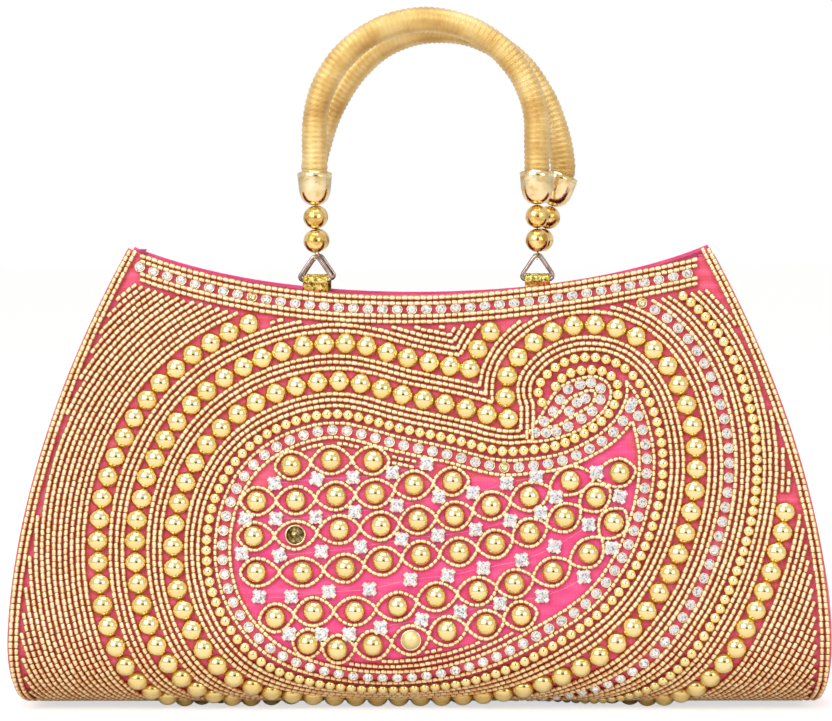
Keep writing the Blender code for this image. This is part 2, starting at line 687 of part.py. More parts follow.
gold = dict(colour=GOLD, rough=0.25, metal=1.0)
champagne = dict(colour=CHAMPAGNE, rough=0.3, metal=1.0)
crystal = dict(colour=CRYSTAL, rough=0.1)
BEAD_REACH = TWO_ROWS_HALF + GAP + BIG_BEAD_D / 2
standing = []
for name, distance, part in (("bead_row_outer_left", ROW_A, left_half),
                             ("bead_row_middle", ROW_B, left_part),
                             ("bead_row_outer_right", ROW_A_RIGHT, lower_right),
                             ("bead_row_inner", ROW_C, everywhere)):
    path = max(on_row(distance, part, BEAD_REACH), key=len)
    points, headings = evenly(path, BIG_BEAD_D + BEAD_SPACE, part is everywhere)
    low = tilt_at(points[:, 1]) > STANDING_TILT
    if part is everywhere:
        turn = int(np.flatnonzero(low & ~np.roll(low, -1))[0]) + 1
        points, low = np.roll(points, -turn, axis=0), np.roll(low, -turn)
    standing.append(points[low])
    add_piece(name, [strand(points[~low], [BIG_BEAD] * len(points))], **gold)
standing = np.vstack(standing)

SMALL_HALF = SMALL_BEAD_D / 2
STONE_HALF = STONE_D / 2
small_line = np.vstack([body_edge, curl_arm[1:]])
add_piece("small_bead_string", [band([(small_line, SMALL_HALF)], SMALL_BEAD_H, 0.45)], **gold)
small_reach = ROWS_IN + SMALL_HALF + STRING_D * 2
small_row = max(on_row(ROW_SMALL_RIGHT, right_part, small_reach), key=len)
small_row = small_row[small_row[:, 0] > RIGHT_ROWS_END[1] + SMALL_BEAD_D + 2 * STRING_D]
add_piece("small_bead_row_right", [band([(small_row, SMALL_HALF)], SMALL_BEAD_H, 0.45)], **gold)
add_piece("stone_chain_right", [band([(max(
    on_row(ROW_CHAIN_RIGHT, right_part, small_reach), key=len), STONE_HALF)],
    STONE_H, 0.5)], **crystal)
under_paisley = np.array([10, -30]) * MM
chain_line = ring_from(offset_loop(inner_outline, ROW_INSIDE_CHAIN), under_paisley, 9 * MM)
add_piece("stone_chain_paisley", [band([(chain_line, STONE_HALF)], STONE_H, 0.5)], **crystal)
curl_start = np.array([75, 96]) * MM
add_piece("curl_rows", [band([
    (ring_from(curl_loop, curl_start, 3 * MM), ONE_ROW_HALF),
    (ring_from(offset_loop(curl_loop, CURL_CHAIN), curl_start, 4 * MM), STONE_HALF),
    (ring_from(offset_loop(curl_loop, CURL_ROW), curl_start, 3 * MM), ONE_ROW_HALF)])],
    **crystal)
top_reach = MOUTH_HALF - 6.5 * MM
across_top = np.linspace(-top_reach, top_reach, 161)


def under_mouth(drop, u=across_top):
    """Line across the cloth, drop below its mouth."""
    return np.stack([u, mouth_v(u) - drop], axis=1)


add_piece("stone_chain_top", [band([(under_mouth(TOP_CHAIN), STONE_HALF)], STONE_H, 0.5)],
          **crystal)

lattice = [np.array(row) * MM for row in LATTICE]
bead_points = np.vstack(lattice)


def between_rows(upper, lower):
    """Middle of each four beads of two neighbouring lattice rows, clear of every bead."""
    middles = []
    for a, b in zip(upper[:-1], upper[1:]):
        reach = np.abs((lower[:-1, 0] + lower[1:, 0]) - (a[0] + b[0])) / 2
        k = int(reach.argmin())
        middle = (a + b + lower[k] + lower[k + 1]) / 4
        clear = np.hypot(*(bead_points - middle).T).min() - (BIG_BEAD_D + CLAW_STONE_SIDE) / 2
        if reach[k] < BIG_BEAD_D and clear > BEAD_SPACE:
            middles.append(middle)
    return np.array(middles)


stops, kinds = [lattice[0][::-1]], [BIG_BEAD] * len(lattice[0])
for upper, lower in zip(lattice[:-1], lattice[1:]):
    stones = between_rows(upper, lower)
    stops += [stones, lower[::-1]]
    kinds += [CLAW_STONE] * len(stones) + [BIG_BEAD] * len(lower)
add_piece("lattice", [strand(np.vstack(stops), kinds, link=BRAID)], **gold)

add_piece("bugle_rows_paisley", [band([
    (ring_from(offset_loop(inner_outline, ROW_INSIDE_FIRST), under_paisley, 6 * MM),
     ONE_ROW_HALF),
    (ring_from(offset_loop(inner_outline, ROW_INSIDE_SECOND), under_paisley, 6 * MM),
     ONE_ROW_HALF)])], **champagne)
three = THREE_ROWS_HALF
rows_reach = ROWS_IN + three
add_piece("bugle_rows_inner", [band([(offset_loop(outline, BAND_INNER), three)], closed=True)],
          **champagne)
for name, distance, part in (("bugle_rows_middle", BAND_C_B, everywhere),
                             ("bugle_rows_left", BAND_B_A, left_part)):
    add_piece(name, [band([(max(on_row(distance, part, rows_reach), key=len), three)])],
              **champagne)
right_rows = [max(on_row(distance, right_part, rows_reach), key=len)
              for distance in (BAND_CHAIN_SMALL, BAND_SMALL_A)]
add_piece("bugle_rows_right", [band(linked(right_rows, three))], **champagne)
for name, first, part in (("bugle_field_left", BANDS_LEFT_FIRST, left_half),
                          ("bugle_field_right", BANDS_RIGHT_FIRST, right_part)):
    paths = [path for k in range(FIELD_BANDS)
             for path in on_row(first + k * 3 * BUGLE_PITCH, part, rows_reach)
             if len(path) > 10]
    if part is right_part:
        paths = on_row(BAND_RIGHT_UPPER, upper_right, rows_reach) + paths
    add_piece(name, [band(linked(paths, three), tolerance=0.6 * MM)], **champagne)
end_u = top_reach + 0.9 * MM
corner = np.array([[end_u, mouth_v(end_u) - TOP_BAND], [end_u, mouth_v(end_u) - TOP_BAND_LOWER]])
add_piece("bugle_border_top", [band([
    (under_mouth(TOP_BAND), TWO_ROWS_HALF), (corner, STRING_D / 2),
    (under_mouth(TOP_BAND_LOWER)[::-1], TWO_ROWS_HALF)])], **champagne)
strip = frame_strip(SIDE_BAND, 1.2 * MM, SIDE_BAND)
hair = 0.01 * MM
border = runs(strip, lambda p: (np.abs(p[:, 0]) > half_width(p[:, 1]) - SIDE_BAND - hair)
              | (p[:, 1] < SEAM_V + SIDE_BAND + hair), True)
add_piece("bugle_border_sides", [band([(max(border, key=len), TWO_ROWS_HALF)])], **champagne)


# Bag body

SHARES = np.linspace(-1, 1, 9)
FLAT_STATIONS = np.array([0.81, 0.62, 0.43, 0.25, 0.10]) * FLAT_LENGTH
UNDER_COVER = COVER_THICK + GAP
UNDER_BOARD = UNDER_COVER + BOARD_THICK + GAP
INSIDE = UNDER_BOARD + LINING_THICK


def panel(stations, top_drop, inset, depth, shares=SHARES, back=False):
    """Grid on the cloth at a depth under its face, from the mouth down the stations."""
    width = half_width(FLAT_LENGTH) - inset
    first = np.stack([shares * width, mouth_v(shares * width, back) - top_drop], axis=1)
    rows = [cloth(first[:, 0], first[:, 1], -depth)]
    for v in stations:
        rows.append(cloth(shares * (half_width(v) - inset), v, -depth))
    grid = np.array(rows)
    if back:
        grid[..., 1] *= -1
    return grid


silk = dict(colour=BASE_COLOUR, rough=0.55)
front_stations = np.concatenate([FLAT_STATIONS, BEND_V[:-1], [SEAM_V + GAP / 2]])
front_cover = add_piece("front_cover", [shell(panel(front_stations, 0, 0, 0),
                                              panel(front_stations, 0, 0, COVER_THICK))], **silk)
base_domes = add_piece("base_bead_domes", [standing_dome(u, v) for u, v in standing], **gold)
base_domes.hide_render = True
base_domes.display_type = "WIRE"
sewn_on = front_cover.modifiers.new("base beads", "BOOLEAN")
sewn_on.operation = "UNION"
sewn_on.object = base_domes
back_seam = BASE_V - (BASE_DEPTH / 2 - BASE_EDGE_RADIUS - SEAM_BACK) + GAP / 2
back_stations = np.concatenate([FLAT_STATIONS, BEND_V[:-1], [back_seam]])
add_piece("back_cover", [shell(panel(back_stations, 0, 0, 0, back=True),
                               panel(back_stations, 0, 0, COVER_THICK, back=True))], **silk)


def side_wall(side, depth, thick, inset, stations, top_drop, count=5):
    """Gusset between the two covers: bulged out below, folded in at the mouth."""
    v = np.concatenate([[float(min(mouth_v(side * MOUTH_WIDTH / 2),
                                   mouth_v(MOUTH_WIDTH / 2, True))) - top_drop], stations])
    share = np.linspace(-1, 1, count)
    rise = np.clip(v / FLAT_LENGTH, 0, 1)
    bulge = GUSSET_BULGE * (1 - rise) - GUSSET_FOLD * rise ** 2
    edge = cloth(0.0, v, -depth)
    widest = np.abs(cloth(0.0, v, -UNDER_COVER)[:, 1])[:, None]
    grids = []
    for inward in (0.0, thick):
        y = edge[:, 1][:, None] * -share
        x = (half_width(v) - inset - inward)[:, None] + bulge[:, None] * (1 - (y / widest) ** 2)
        z = np.broadcast_to(edge[:, 2][:, None], x.shape)
        grids.append(np.stack([side * x, y, z], axis=-1))
    return shell(*grids)


wall_stations = np.concatenate([FLAT_STATIONS, BEND_V[:-1]])
lining_bends = BEND_V[:-1][::2]
lining_stations = np.concatenate([FLAT_STATIONS[::2], lining_bends])
side_stations = np.concatenate([FLAT_STATIONS, lining_bends])
SIDE_LINING_INSET = COVER_THICK + 2 * GAP
for name, side in (("left_gusset", -1), ("right_gusset", 1)):
    add_piece(name, [side_wall(side, UNDER_COVER, COVER_THICK, 0.2 * MM, wall_stations, 0.5 * MM)],
              **silk)
    add_piece(name + "_lining", [side_wall(side, INSIDE + GAP, LINING_THICK,
                                           0.2 * MM + SIDE_LINING_INSET, side_stations, 1.5 * MM)],
              colour=LINING_COLOUR, rough=0.6)

board_stations = np.concatenate([FLAT_STATIONS, [2 * MM]])
for name, back in (("front_board", False), ("back_board", True)):
    grids = [panel(board_stations, BOARD_DROP, BOARD_INSET, depth, SHARES[::2], back)
             for depth in (UNDER_COVER, UNDER_COVER + BOARD_THICK)]
    add_piece(name, [shell(*grids)], colour=BOARD_COLOUR, rough=0.9)

lining_shares = SHARES[::2]
LINING_INSET = COVER_THICK + LINING_THICK + 4 * GAP
halves = []
for depth in (UNDER_BOARD, INSIDE):
    front = panel(lining_stations, 0.6 * MM, LINING_INSET + 0.4 * MM, depth, lining_shares)
    back = panel(lining_stations, 0.6 * MM, LINING_INSET + 0.4 * MM, depth, lining_shares, True)
    halves.append(np.concatenate([front, back[::-1]]))
add_piece("lining", [shell(*halves)], colour=LINING_COLOUR, rough=0.6)

flat_half = BASE_DEPTH / 2 - BASE_EDGE_RADIUS - 1 * MM
board_low = base_z() + UNDER_COVER
corners = np.array([[[-BASE_BOARD_WIDTH / 2, y, z], [BASE_BOARD_WIDTH / 2, y, z]]
                    for z in (board_low, board_low + BOARD_THICK)
                    for y in (-flat_half, flat_half)])
add_piece("base_board", [shell(corners[:2], corners[2:])], colour=BOARD_COLOUR, rough=0.9)


def on_lining(back):
    """Placing function at the snap: z into the bag, off the lining."""
    v = float(mouth_v(0)) - SNAP_DROP
    origin = cloth(0.0, v, -(INSIDE + GAP))
    inward = -np.array([0, *FACET_NORMAL[0]])
    if back:
        origin[1], inward[1] = -origin[1], -inward[1]
    across = np.cross(inward, [1.0, 0, 0])
    return lambda x, y, z: origin + x * np.array([1.0, 0, 0]) + y * across + z * inward


SNAP_SIDES = 12
snap = dict(colour=CHAMPAGNE, rough=0.3, metal=1.0)
place = on_lining(False)
angles = np.arange(SNAP_SIDES) * 2 * math.pi / SNAP_SIDES


def disc_rings(place, steps):
    """Solid through discs of (radius, height)."""
    return loft([[place(r * math.cos(a), r * math.sin(a), z) for a in angles]
                 for r, z in steps], closed=False)


add_piece("snap_socket", [disc_rings(place, [
    (SNAP_RADIUS, 0), (SNAP_RADIUS, SNAP_THICK), (SNAP_WELL_RADIUS, SNAP_THICK),
    (SNAP_WELL_RADIUS, SNAP_THICK - SNAP_WELL_DEPTH)])], **snap)
add_piece("snap_stud", [disc_rings(on_lining(True), [
    (SNAP_RADIUS, 0), (SNAP_RADIUS, SNAP_THICK), (SNAP_STUD_RADIUS, SNAP_THICK),
    (SNAP_STUD_RADIUS, SNAP_THICK + SNAP_STUD_HEIGHT)])], **snap)


# Handles

TAB_DEPTH = UNDER_COVER + BOARD_THICK / 2
BAR_V = float(mouth_v(HANDLE_CENTRE + RING_SPACING / 2)) + TAB_RISE
BAR = cloth(0.0, BAR_V, -TAB_DEPTH)
BEAD_ABOVE_APEX = RING_WIRE_D / 2 + RING_TO_BEAD + HANDLE_BEAD_D / 2
CAP_ABOVE_APEX = BEAD_ABOVE_APEX + 1.5 * HANDLE_BEAD_D + 0.1 * MM + GAP
GRIP_ABOVE_APEX = CAP_ABOVE_APEX + GRIP_SEAT


def ring_path():
    """Centre line of a triangle ring, with its bar on the X axis, round at its corners."""
    corners = np.array([[-RING_HALF_WIDTH, 0], [0, RING_HEIGHT], [RING_HALF_WIDTH, 0]])
    path = []
    for i, radius in enumerate((RING_CORNER_R, RING_APEX_R, RING_CORNER_R)):
        here = corners[i]
        a = corners[i - 1] - here
        b = corners[(i + 1) % 3] - here
        a, b = a / np.hypot(*a), b / np.hypot(*b)
        half = math.acos(a @ b) / 2
        centre = here + (a + b) / np.hypot(*(a + b)) * radius / math.sin(half)
        start, end = (here + side * radius / math.tan(half) - centre for side in (a, b))
        first = math.atan2(start[1], start[0])
        sweep = (math.atan2(end[1], end[0]) - first + math.pi) % (2 * math.pi) - math.pi
        for turn in first + np.linspace(0, 1, 5) * sweep:
            path.append(centre + radius * np.array([math.cos(turn), math.sin(turn)]))
    path = np.array(path)
    return np.stack([path[:, 0], np.zeros(len(path)), path[:, 1]], axis=1)


RING_APEX_Z = float(ring_path()[:, 2].max())


def arch_path(back):
    """Centre line of a grip from its left end to its right, its foot at ring height.

    Front: two straight legs and a half circle. Back: straight in its splayed caps, and one
    smooth curve from each side up to the top.
    """
    left, right = (half_arch(side, back) for side in (-1, 1))
    whole = np.vstack([left * [-1, 1], right[-2::-1]])
    return np.stack([whole[:, 0], np.zeros(len(whole)), whole[:, 1]], axis=1)


def half_arch(side, back):
    """One side of a grip's centre line (distance outwards, height), from its foot to its top."""
    splay = BACK_SPLAY[side] if back else 0.0
    lean = np.array([math.sin(splay), math.cos(splay)])
    foot = np.array([RING_SPACING / 2, RING_APEX_Z]) + GRIP_ABOVE_APEX * lean
    neck = foot + (CAP_LENGTH - GRIP_SEAT + GRIP_STRAIGHT) * lean
    if back:
        pull = 0.56
        top = np.array([side * BACK_TOP_SHIFT, BACK_ARCH_RISE])
        leg = np.array([-math.tan(BACK_LEG_LEAN[side]), 1])
        before = neck + pull * (top[1] - neck[1]) * leg
        after = top + [pull * (neck[0] - top[0]), 0]
        t = np.linspace(0, 1, GRIP_SEGMENTS // 2 + 1)[:, None]
        curve = ((1 - t) ** 3 * neck + 3 * t * (1 - t) ** 2 * before
                 + 3 * t ** 2 * (1 - t) * after + t ** 3 * top)
    else:
        turn = np.linspace(0, math.pi / 2, GRIP_SEGMENTS // 2 + 1)
        radius = RING_SPACING / 2
        curve = np.stack([np.cos(turn), np.sin(turn)], axis=1) * radius
        curve[:, 1] += FRONT_ARCH_RISE - radius
    return np.vstack([foot, curve])


def link_frame(side, splay):
    """Placing function from the ring's apex: z up the link, x outwards."""
    out = np.array([side * math.cos(splay), 0, -math.sin(splay)])
    up = np.array([side * math.sin(splay), 0, math.cos(splay)])
    apex = np.array([side * RING_SPACING / 2, 0, RING_APEX_Z])
    return lambda x, y, z: apex + x * out + y * np.array([0, 1.0, 0]) + z * up


def tab_section():
    """Outer and inner loops of a tab's section: round the bar, and two tails below."""
    inner_r = RING_WIRE_D / 2 + GAP
    outer_r = inner_r + TAB_THICK
    turn = np.linspace(math.radians(-62), math.radians(242), 8)
    tail = -(float(BAR_V - mouth_v(HANDLE_CENTRE + RING_SPACING / 2)) + TAB_TAIL)
    outer = [(outer_r * math.cos(a), outer_r * math.sin(a)) for a in turn]
    inner = [(inner_r * math.cos(a), inner_r * math.sin(a)) for a in turn]
    half = BOARD_THICK / 2
    outer += [(-half, -outer_r * 1.25), (-half, tail), (half, tail), (half, -outer_r * 1.25)]
    inner += [(inner_r * math.cos(a), inner_r * math.sin(a))
              for a in np.radians([250, 262, 278, 290])]
    return np.array(outer), np.array(inner)


def tab(x_centre, bar, lean):
    """Cloth tab: its section carried across its width."""
    outer, inner = tab_section()
    turn = np.array([[math.cos(lean), -math.sin(lean)], [math.sin(lean), math.cos(lean)]])
    rings = []
    for loop, x in ((outer, -1), (outer, 1), (inner, 1), (inner, -1)):
        yz = loop @ turn.T + bar[1:]
        rings.append(np.column_stack([np.full(len(yz), x_centre + x * TAB_WIDTH / 2), yz]))
    return loft(rings, closed=True)


half_bead = HANDLE_BEAD_D / 2
bore = HANDLE_BEAD_BORE / 2
flat_z = math.sqrt(half_bead ** 2 - bore ** 2)
middle_angle = math.radians(44)
BEAD_PROFILE = [(bore, -flat_z),
                (half_bead * math.cos(middle_angle), -half_bead * math.sin(middle_angle)),
                (half_bead, 0),
                (half_bead * math.cos(middle_angle), half_bead * math.sin(middle_angle)),
                (bore, flat_z)]
CAP_PROFILE = [(CAP_HOLE_R, 0), (CAP_FOOT_R, 0), (CAP_BODY_R * 0.78, 1.7 * MM),
               (CAP_BODY_R, 5.5 * MM), (CAP_MOUTH_R, CAP_LENGTH),
               (GRIP_D / 2 + GAP + 0.1 * MM, CAP_LENGTH),
               (GRIP_D / 2 + GAP, 4.6 * MM), (CAP_HOLE_R, CAP_FLOOR)]
EYE_END = math.radians(318)
KNOT_LENGTH = 1.8 * MM


def link_path():
    """Wire of a link, from its knot in the cap to the open eye round the ring."""
    knot_top = CAP_ABOVE_APEX + CAP_FLOOR + GAP + KNOT_LENGTH
    straight = [(0, 0, knot_top), (0, 0, knot_top - KNOT_LENGTH),
                (0, 0, knot_top - KNOT_LENGTH - 0.02 * MM), (0, 0, LINK_EYE_R)]
    radius = [LINK_KNOT_R, LINK_KNOT_R, LINK_D / 2, LINK_D / 2]
    for turn in np.linspace(0, EYE_END, 10)[1:]:
        straight.append((0, -LINK_EYE_R * math.sin(turn), LINK_EYE_R * math.cos(turn)))
        radius.append(LINK_D / 2)
    return straight, radius


for end, back in (("front", False), ("back", True)):
    bar = np.array([HANDLE_CENTRE, -BAR[1] if back else BAR[1], BAR[2]])
    apex = bar + [0, 0, RING_APEX_Z]
    add_piece(f"{end}_handle_grip", [loft(sweep_rings(arch_path(back) + bar, GRIP_D / 2, 10),
                                          False)],
              colour=THREAD, rough=0.5, smooth=True, pivot=apex)
    for side_name, side in (("left", -1), ("right", 1)):
        local = link_frame(side, BACK_SPLAY[side] if back else 0.0)

        def place(x, y, z):
            return local(x, y, z) + bar

        add_piece(f"{end}_cap_{side_name}", [turned(
            [(r, z + CAP_ABOVE_APEX) for r, z in CAP_PROFILE], place, 10)],
            smooth=True, pivot=apex, **champagne)
        for bead_name, level in (("lower", BEAD_ABOVE_APEX),
                                 ("upper", BEAD_ABOVE_APEX + HANDLE_BEAD_D + 0.1 * MM)):
            add_piece(f"{end}_bead_{bead_name}_{side_name}", [turned(
                [(r, z + level) for r, z in BEAD_PROFILE], place, 8)],
                smooth=True, pivot=apex, **gold)
        wire, radius = link_path()
        wire = np.array([place(*point) for point in wire])
        add_piece(f"{end}_link_{side_name}", [loft(sweep_rings(
            wire, np.array(radius), 4, start_side=(1, 0, 0)), False)], pivot=apex, **champagne)
        centre = bar + [side * RING_SPACING / 2, 0, 0]
        add_piece(f"{end}_ring_{side_name}", [loft(sweep_rings(
            ring_path() + centre, RING_WIRE_D / 2, 6, closed=True), True)],
            colour=STEEL, rough=0.25, metal=1.0, smooth=True, pivot=centre)
        lean = LEAN if back else -LEAN
        add_piece(f"{end}_tab_{side_name}", [tab(centre[0], centre, lean)],
                  colour=LUREX, rough=0.4, metal=0.6)
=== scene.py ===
"""Scene for the beaded clutch bag with two thread-wound arch handles.

The front silk runs round the lower edge and under the base as one cloth. Everything sewn on it
is laid out in cloth coordinates: u across, v up from the line where the flat front ends, h
outwards from the silk. Lengths are in metres, and MM turns millimetres into metres.
"""
import math

import bpy
import numpy as np
from mathutils import Matrix, Vector


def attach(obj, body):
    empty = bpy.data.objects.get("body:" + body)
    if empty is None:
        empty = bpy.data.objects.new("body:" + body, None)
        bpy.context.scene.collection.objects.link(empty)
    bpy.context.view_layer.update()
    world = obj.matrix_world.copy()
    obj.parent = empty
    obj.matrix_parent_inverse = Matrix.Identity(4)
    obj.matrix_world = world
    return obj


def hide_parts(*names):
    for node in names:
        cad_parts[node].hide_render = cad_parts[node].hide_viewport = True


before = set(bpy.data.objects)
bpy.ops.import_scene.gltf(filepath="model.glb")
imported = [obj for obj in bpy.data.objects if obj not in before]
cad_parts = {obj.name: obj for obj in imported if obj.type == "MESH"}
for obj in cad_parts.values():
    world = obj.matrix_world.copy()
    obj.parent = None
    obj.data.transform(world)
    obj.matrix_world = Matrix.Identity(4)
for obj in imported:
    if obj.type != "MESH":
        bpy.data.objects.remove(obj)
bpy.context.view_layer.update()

MM = 0.001
SETBACK = 2.1 * MM          # middle of the body behind y = 0
BODY_WIDTH = 310 * MM
BASE_WIDTH = 300 * MM
MOUTH_WIDTH = 221 * MM
BODY_HEIGHT = 171 * MM
BASE_DEPTH = 72 * MM
MOUTH_DEPTH = 24 * MM
EDGE_RADIUS = 24 * MM
BASE_Z = 4.2 * MM
SIDE_CURVE = 1.85           # power of the side edges' curve
WIDEST_V = -8 * MM
SEAM_BACK = 11 * MM         # base seam past the middle of the base
BIG_BEAD_D = 8.3 * MM
SMALL_BEAD_D = 4.15 * MM
BUGLE_D = 1.95 * MM
BUGLE_STEP = 2.35 * MM
ROW_PITCH = 2.25            # between bugle rows, in cloth millimetres
rng = np.random.default_rng(5)


# The cloth

centre = np.array([-(BASE_DEPTH / 2 - EDGE_RADIUS), BASE_Z + EDGE_RADIUS])
reach = np.array([-MOUTH_DEPTH / 2, BASE_Z + BODY_HEIGHT]) - centre
LEAN = math.atan2(reach[0], reach[1]) + math.asin(EDGE_RADIUS / np.hypot(*reach))
FLAT_LENGTH = math.sqrt(reach @ reach - EDGE_RADIUS ** 2)
BASE_V = -EDGE_RADIUS * (LEAN + math.pi / 2)
SEAM_V = BASE_V - (BASE_DEPTH / 2 - EDGE_RADIUS + SEAM_BACK)
MOUTH_HALF = MOUTH_WIDTH / 2


def axes_at(v):
    """Outward normal and upward tangent of the cloth at v, from the angle it has turned."""
    turn = np.clip(-np.asarray(v, float) / EDGE_RADIUS, 0, LEAN + math.pi / 2) - LEAN
    flat = np.zeros_like(turn)
    normal = np.stack([flat, -np.cos(turn), -np.sin(turn)], axis=-1)
    up = np.stack([flat, -np.sin(turn), np.cos(turn)], axis=-1)
    return normal, up


def cloth(u, v, h=0.0):
    """Point on the front cloth: a plane above v = 0, a circle below it, level on the base."""
    u, v, h = np.broadcast_arrays(*(np.asarray(a, float) for a in (u, v, h)))
    normal, up = axes_at(v)
    rest = np.where(v > 0, v, np.minimum(v - BASE_V, 0))
    point = (EDGE_RADIUS + h)[..., None] * normal + rest[..., None] * up
    point = point + np.array([0, centre[0] + SETBACK, centre[1]])
    point[..., 0] = u
    return point


def half_width(v):
    """Half the cloth's width at v: a power curve up to the mouth, drawn in below."""
    v = np.asarray(v, float)
    rise = np.clip((v - WIDEST_V) / (FLAT_LENGTH - WIDEST_V), 0, None)
    above = (BODY_WIDTH - (BODY_WIDTH - MOUTH_WIDTH) * rise ** SIDE_CURVE) / 2
    fall = np.clip((WIDEST_V - v) / (WIDEST_V - BASE_V), 0, 1)
    return above - (BODY_WIDTH - BASE_WIDTH) / 2 * fall ** 2


def mouth_v(u, back=False):
    """v of the top edge at u: a dip in the middle, with its own depth on each side."""
    share = np.abs(np.asarray(u, float)) / MOUTH_HALF
    if back:
        return FLAT_LENGTH - 18 * MM * (1 - share ** 2.1)
    side = np.where(np.asarray(u) < 0, share ** 2.3 * 18.4, share ** 1.7 * 15.3) * MM
    return FLAT_LENGTH - 18.4 * MM + side


# Meshes

def build_mesh(name, batches, materials, nodes=(), body="bag"):
    """One object from batches (form, origins, axes, shade), with its materials, attached to its
    body; the CAD nodes that it takes the place of are hidden.

    Each copy of a form is origin + its points times its three axes. A form is its points and
    a list of (faces, smooth, material slot). The shade is one value per copy or per point.
    """
    points, loops, sizes, smooth, slots, shades, start = [], [], [], [], [], [], 0
    for (form_points, form_faces), origins, axes, shade in batches:
        count, width = len(origins), len(form_points)
        points.append((origins[:, None] + form_points @ axes).reshape(-1, 3))
        shades.append(np.broadcast_to(shade.reshape(count, -1), (count, width)).ravel())
        step = start + width * np.arange(count)[:, None, None]
        for faces, soft, slot in form_faces:
            faces = np.asarray(faces)
            loops.append((step + faces[None]).ravel())
            sizes.append(np.full(count * len(faces), faces.shape[1]))
            smooth.append(np.full(count * len(faces), soft))
            slots.append(np.full(count * len(faces), slot))
        start += count * width
    points, loops, sizes = np.concatenate(points), np.concatenate(loops), np.concatenate(sizes)
    mesh = bpy.data.meshes.new(name)
    mesh.vertices.add(len(points))
    mesh.vertices.foreach_set("co", points.ravel())
    mesh.loops.add(len(loops))
    mesh.loops.foreach_set("vertex_index", loops.astype(np.int32))
    mesh.polygons.add(len(sizes))
    mesh.polygons.foreach_set("loop_start", (np.cumsum(sizes) - sizes).astype(np.int32))
    mesh.update(calc_edges=True)
    mesh.polygons.foreach_set("use_smooth", np.concatenate(smooth))
    mesh.polygons.foreach_set("material_index", np.concatenate(slots).astype(np.int32))
    layer = mesh.attributes.new("shade", "FLOAT", "POINT")
    layer.data.foreach_set("value", np.concatenate(shades))
    for material in materials:
        mesh.materials.append(material)
    piece = bpy.data.objects.new(name, mesh)
    bpy.context.collection.objects.link(piece)
    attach(piece, body)
    if nodes:
        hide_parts(*nodes)
    return piece


def around(sides):
    """Angles of the sides of a ring."""
    return np.arange(sides) * 2 * math.pi / sides


def unit(vectors):
    """Rows at length 1."""
    return vectors / np.linalg.norm(vectors, axis=1)[:, None]


UNTURNED = np.eye(3)
HALF_SHADE = np.array([0.5])


def single(form, origin=(0, 0, 0), axes=UNTURNED):
    """A form used once."""
    return form, np.array([origin], float), axes[None], HALF_SHADE


def set_shade(piece, values):
    """Writes the shade attribute of a piece."""
    piece.data.attributes["shade"].data.foreach_set("value", values)


def grid_faces(rows, columns, wrap_rows=False, wrap_columns=False):
    """Quads of a grid of points, joined round on itself where asked."""
    index = np.arange(rows * columns).reshape(rows, columns)
    if wrap_rows:
        index = np.vstack([index, index[:1]])
    if wrap_columns:
        index = np.hstack([index, index[:, :1]])
    return np.stack([index[:-1, :-1], index[:-1, 1:], index[1:, 1:], index[1:, :-1]],
                    axis=-1).reshape(-1, 4)


def revolve(radius, height, sides):
    """Grid of points (rows, sides, 3) from radii and heights turned about z."""
    turn = around(sides)
    return np.stack([radius * np.cos(turn), radius * np.sin(turn),
                     np.repeat(height, sides, axis=1)], axis=-1)


def turned_form(profile, sides, scallop=0.0):
    """Form of revolution about z from (radius, height), closed at both ends by flat caps."""
    profile = np.asarray(profile, float)
    radius = profile[:, :1] * np.ones(sides)
    radius[:2] *= 1 + scallop * np.cos(np.arange(sides) * math.pi)
    rows = len(profile)
    bottom = np.arange(sides)[::-1][None]
    top = (np.arange(sides) + (rows - 1) * sides)[None]
    return revolve(radius, profile[:, 1:], sides).reshape(-1, 3), [
        (grid_faces(rows, sides, wrap_columns=True), True, 0), (bottom, False, 0),
        (top, True, 0)]


def looped_form(points):
    """Form from a grid of points that joins on itself both ways."""
    faces = grid_faces(*points.shape[:2], wrap_rows=True, wrap_columns=True)
    return points.reshape(-1, 3), [(faces, True, 0)]


def tube_form(rings):
    """Tube through rings (count, sides, 3), closed by flat ends."""
    count, sides = rings.shape[:2]
    first = np.arange(sides)
    return rings.reshape(-1, 3), [
        (grid_faces(count, sides, wrap_columns=True), True, 0), (first[::-1][None], False, 0),
        ((first + (count - 1) * sides)[None], False, 0)]


def sweep(path, radius, sides, closed=False):
    """Rings of a round section along a path that is nowhere parallel to y."""
    if closed:
        ahead = np.roll(path, -1, axis=0) - np.roll(path, 1, axis=0)
    else:
        ahead = np.gradient(path, axis=0)
    ahead = unit(ahead)
    side = unit(np.array([0.0, 1.0, 0.0]) - ahead[:, 1:2] * ahead)
    other = np.cross(ahead, side)
    turn = around(sides)
    return path[:, None] + radius * (np.cos(turn)[:, None] * side[:, None]
                                     + np.sin(turn)[:, None] * other[:, None])


def seats(points, heading=0.0, lift=0.0):
    """Origins and axes on the cloth: x along the heading, y across it, z off the silk."""
    points = np.asarray(points, float)
    heading = np.broadcast_to(heading, len(points))[:, None]
    normal, up = axes_at(points[:, 1])
    along = np.cos(heading) * np.array([1.0, 0, 0]) + np.sin(heading) * up
    return cloth(points[:, 0], points[:, 1], lift), np.stack(
        [along, np.cross(normal, along), normal], axis=1)


# Lines on the cloth

def metres(places):
    """Places given in cloth millimetres."""
    return np.array(places) * MM


